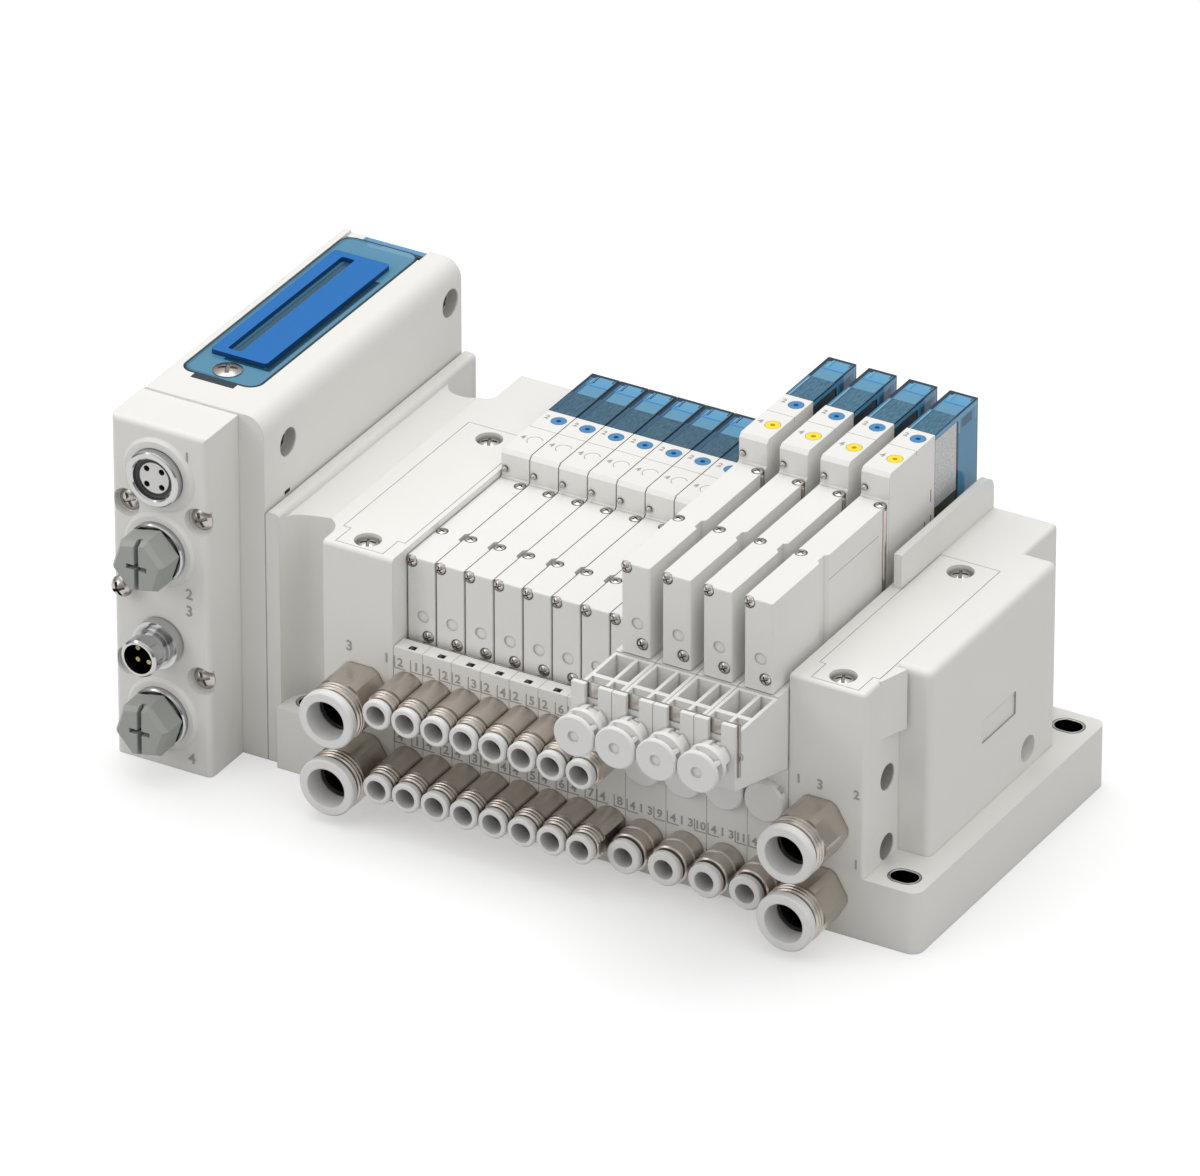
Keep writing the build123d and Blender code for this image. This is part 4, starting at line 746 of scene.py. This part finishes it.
def slot_bushes():
    """Thin bushes in the mounting slots: a small ring section carried round a stadium,
    which is a rectangle with half circles at its ends."""
    foot, wall, lip_top = 0.4, 0.15, FOOT_TOP + 0.08
    section = [                                 # inset from the slot's outline, and height
        (0.02, foot), (0.02, FOOT_TOP - 0.15), (-0.26, FOOT_TOP + 0.01), (-0.2, lip_top),
        (0.05, lip_top), (wall, FOOT_TOP), (wall, foot), (0.02, foot),
    ]
    outlines = []
    for inset, z in section:
        length, width = SLOT_LENGTH - 2 * inset, SLOT_WIDTH - 2 * inset
        outlines.append((rounded_outline(length, width, SLOT_WIDTH / 2 - inset, 8), z))
    sheets = [
        np.array([level(outline, (x, y), z) for outline, z in outlines])
        for x in (-SLOT_X, SLOT_X) for y in (-SLOT_Y, SLOT_Y)
    ]
    skin("slot_bushes", sheets, "bush_steel")


def ball_plugs():
    """Steel balls pressed into the pilot fronts: a half circle turned round the hole's axis."""
    profile = [(0.64 * math.sin(t), 0.3 + 0.6 * math.cos(t)) for t in np.linspace(0, math.pi, 9)]
    sheets = [
        turned((x - 2.25, PILOT_FRONT, z), (0, -1, 0), profile, 14)
        for row, z in ((NARROW_X, NARROW_BALL_Z), (WIDE_X, TALL_BALL_Z)) for x in row
    ]
    skin("ball_plugs", sheets, "ball_steel")


def cross_head(centre, radius, rise):
    """Screw head: a dome over a short rim. Inside two crossed bars near the middle the dome is
    lowered by a fixed depth, which makes the cross recess."""
    sink, count = 0.3, 40
    recess_turn, bar, arm, recess = 0.45, 0.13 * radius, 0.66 * radius, 0.30
    angles = np.linspace(0, 2 * math.pi, count, endpoint=False)
    circle = np.column_stack([np.cos(angles), np.sin(angles)])
    rim = (0.0, -sink), (radius, -sink), (radius, -0.05)
    rows = [level(circle, (0, 0), height, r) for r, height in rim]
    for r in np.linspace(radius, 0.0, 14)[1:]:
        a, b = r * np.cos(angles + recess_turn), r * np.sin(angles + recess_turn)
        cut = (np.minimum(abs(a), abs(b)) < bar) & (r < arm)
        rows.append(np.column_stack([r * circle, rise * (1 - (r / radius) ** 2) - recess * cut]))
    return np.array(rows) + np.array(centre)


def tie_screws():
    """Heads of the long tie screws standing in their notches, and the part of each rear one that
    shows down the side of a tall valve, a rod with rounded ends."""
    sheets = []
    for row, half, front_y, top in (
        (NARROW_X, 3.15, 16.8, NARROW_SCREW_TOP), (WIDE_X, 3.1, 16.0, TALL_SCREW_TOP),
    ):
        for x in row:
            sheets.append(cross_head((x - half + 1.05, FRONT + front_y, top), 1.08, 0.22))
            sheets.append(cross_head((x + half - 1.05, REAR_SCREW_Y, top), 1.08, 0.34))
    rod = [(0.0, 0.0), (0.5, 0.0), (0.6, 0.1), (0.6, 18.5), (0.5, 18.6), (0.0, 18.6)]
    sheets += [turned((x + 3.1 - 0.3, REAR_SCREW_Y, 51.9), UP, rod, 24) for x in WIDE_X]
    skin("tie_screws", sheets, "tie_steel")


def switch_board():
    """Circuit board in the window's well, with two rotary switches, a slide switch and a chip."""
    board = [block((-91.05, 6.75), 15.0, 60.5, BOARD_LOW, BOARD_TOP, 1.2, 0.05)]
    cases = [block(place, 6.2, 6.2, BOARD_TOP, SWITCH_TOP, 0.4) for place in SWITCH_PLACES]
    cases.append(block((-95.6, 5.0), 3.0, 42.0, BOARD_TOP, 71.2))
    cases.append(block((-88.0, 5.0), 5.5, 14.0, BOARD_TOP, 71.4))
    dial = [(0, 0), (2.2, 0), (2.2, 0.3), (2.0, 0.45), (0.5, 0.45), (0.5, 0.2), (0, 0.2)]
    dials = [turned((*place, SWITCH_TOP), UP, dial) for place in SWITCH_PLACES]
    skin("circuit_board", board, "board_green")
    skin("switch_cases", cases, "switch_black")
    skin("switch_dials", dials, "plug")


def figures(name, marks, rise=FIGURE_RISE, up=UP):
    """Plain figures, each a flat outline raised a little from the surface it stands on. All of them
    read to the right, and upwards along up. A mark is (text, place, size) in millimetres."""
    taller, bolder = 1.35, 0.028              # of a mark's size: the letter body, and added weight
    right, up = np.array(RIGHT, float), np.array(up, float)
    out = np.cross(right, up)
    lift = (rise - FIGURE_SINK) / 2
    points, faces, base = [], [], 0
    for text, place, size in marks:
        curve = bpy.data.curves.new(name, "FONT")
        curve.body = text
        curve.size = size * taller
        curve.align_x, curve.align_y = "CENTER", "CENTER"
        curve.extrude = (rise + FIGURE_SINK) / 2
        curve.offset = size * bolder
        curve.resolution_u = 3
        holder = bpy.data.objects.new(name, curve)
        flat = bpy.data.meshes.new_from_object(holder)
        count = len(flat.vertices)
        spots = np.empty(count * 3)
        flat.vertices.foreach_get("co", spots)
        spots = spots.reshape(-1, 3)
        spread = spots[:, :1] * right + spots[:, 1:2] * up + (spots[:, 2:] + lift) * out
        points.append((np.array(place) + spread) * MM)
        faces += [[base + v for v in polygon.vertices] for polygon in flat.polygons]
        base += count
        bpy.data.objects.remove(holder)
        bpy.data.curves.remove(curve)
        bpy.data.meshes.remove(flat)
    mesh = bpy.data.meshes.new(name)
    mesh.from_pydata(np.concatenate(points).tolist(), [], faces)
    clean(mesh, drop_slivers=False)
    settle(name, mesh, "figure_shade_grey")


def corner_lines(places, width, height):
    """Raised corner lines on a front face: an upright at the left and a foot along the bottom."""
    sheets = []
    for x, y, z in places:
        for centre, wide, tall in (
            ((x - width / 2, z), FIGURE_LINE, height), ((x, z - height / 2), width, FIGURE_LINE),
        ):
            outline = rounded_outline(wide, tall, FIGURE_LINE * 0.45, 3)
            back, front = -FIGURE_SINK, FIGURE_RISE
            rows = [
                level(outline, centre, y - out, part)[:, [0, 2, 1]]
                for part, out in ((0.0, back), (1.0, back), (1.0, front), (0.0, front))
            ]
            sheets.append(np.array(rows))
    return sheets


def port_numbers():
    """Port and station numbers on the base's front, each with its corner lines."""
    marks, corners = [], []
    high, low, wide_low = 31.9, 15.2, 15.0
    for number, x in enumerate(NARROW_X, 1):
        for offset, text, z in (
            (-1.75, "2", high), (1.85, str(number), high),
            (-1.85, "4", low), (2.0, str(number), low),
        ):
            marks.append((text, (x + offset, FRONT, z), 1.95))
            corners.append((x + offset, FRONT, z))
    for number, x in enumerate(WIDE_X, 9):
        for offset, text in ((-2.9, "4"), (0.0, "1 3"), (3.1, str(number))):
            marks.append((text, (x + offset, FRONT, wide_low), 1.85))
            if text != "1 3":
                corners.append((x + offset, FRONT, wide_low))
    figures("port_numbers", marks)
    lines = corner_lines(corners, 2.5, 2.6)
    skin("port_number_corners", lines, "figure_shade_grey", smooth=0)


def end_numbers():
    """Numbers beside the large ports and the connectors."""
    ports = [
        (text, (x, FRONT, z), size)
        for text, x, z, size in (
            ("3", -54.6, 32.4, 2.3), ("1", -46.2, 32.1, 2.1), ("3", 50.3, 31.9, 2.2),
            ("2", 58.3, 31.9, 2.0), ("1", 58.3, 16.4, 2.0), ("1", 45.6, 31.9, 2.0),
        )
    ]
    figures("large_port_numbers", ports)
    heights = (70.6, 40.2, 36.4, 3.2)
    beside = [(str(i), (-84.8, BLOCK_FACE, z), 2.4) for i, z in enumerate(heights, 1)]
    figures("connector_numbers", beside)


def override_numbers():
    """Numbers on the pilot tops beside the override buttons."""
    marks = [
        (text, (x + NUMBER_OFF, y, top), 1.5)
        for row, top in ((NARROW_X, NARROW_TOP), (WIDE_X, TALL_TOP))
        for x in row
        for text, y in (("2", REAR_NUMBER_Y), ("4", FRONT_NUMBER_Y))
    ]
    figures("override_numbers", marks, rise=0.03, up=BACK)


port_clip()
slot_bushes()
ball_plugs()
tie_screws()
switch_board()
port_numbers()
end_numbers()
override_numbers()


def white_floor():
    """Plain floor that looks white to the camera and in reflections, and lights the part less."""
    reach = 4.0
    ground = bpy.data.meshes.new("floor")
    corners = [(-reach, -reach, 0), (reach, -reach, 0), (reach, reach, 0), (-reach, reach, 0)]
    ground.from_pydata(corners, [], [(0, 1, 2, 3)])
    floor = bpy.data.objects.new("floor", ground)
    bpy.context.scene.collection.objects.link(floor)
    paint = Finish("floor", (0.9, 0.9, 0.9), 0.9)
    rays = paint.tree.nodes.new("ShaderNodeLightPath").outputs
    kinds = ("Is Camera Ray", "Is Glossy Ray", "Is Transmission Ray")
    seen = either(Wire(paint, rays[kind]) for kind in kinds)
    paint.set("Base Color", paint.tint(seen, (0.50, 0.50, 0.50), (1.0, 1.0, 1.0)))
    glow = paint.node("ShaderNodeEmission", {}, {"Color": (1, 1, 1, 1), "Strength": 1.1})
    surface = Wire(paint, paint.shader.outputs[0])
    mixed = paint.node("ShaderNodeMixShader", {}, [seen * 0.36, surface, glow])
    paint.feed(paint.tree.nodes["Material Output"].inputs["Surface"], mixed)
    ground.materials.append(paint.material)


def surroundings():
    """Soft white light from all round, brighter overhead."""
    world = bpy.data.worlds.new("surroundings")
    bpy.context.scene.world = world
    world.use_nodes = True
    tree = world.node_tree
    back = tree.nodes["Background"]
    direction = tree.nodes.new("ShaderNodeTexCoord")
    split = tree.nodes.new("ShaderNodeSeparateXYZ")
    tree.links.new(direction.outputs["Generated"], split.inputs[0])
    rise = tree.nodes.new("ShaderNodeMapRange")
    rise.interpolation_type = "SMOOTHSTEP"
    limits = {"From Min": 0.05, "From Max": 0.9, "To Min": 0.20, "To Max": 0.95}
    for socket, value in limits.items():
        rise.inputs[socket].default_value = value
    tree.links.new(split.outputs["Z"], rise.inputs["Value"])
    back.inputs["Color"].default_value = (1.0, 1.0, 1.0, 1.0)
    tree.links.new(rise.outputs[0], back.inputs["Strength"])


def lamps():
    """Square lamps above, in front and at the right, turned towards the part."""
    for name, spot, size, power in (
        ("key", (-0.28, 0.2, 1.2), 0.9, 4.65),
        ("front", (-0.55, -0.6, 0.42), 0.5, 1.3),
        ("side", (0.9, -0.35, 0.5), 0.7, 1.35),
    ):
        data = bpy.data.lights.new(name, "AREA")
        data.size = size
        data.energy = power
        lamp = bpy.data.objects.new(name, data)
        towards = (Vector((0, 0, 0.03)) - Vector(spot)).to_track_quat("-Z", "Y")
        lamp.matrix_world = Matrix.Translation(spot) @ towards.to_matrix().to_4x4()
        bpy.context.scene.collection.objects.link(lamp)


bpy.context.scene.view_settings.view_transform = "Standard"
white_floor()
surroundings()
lamps()
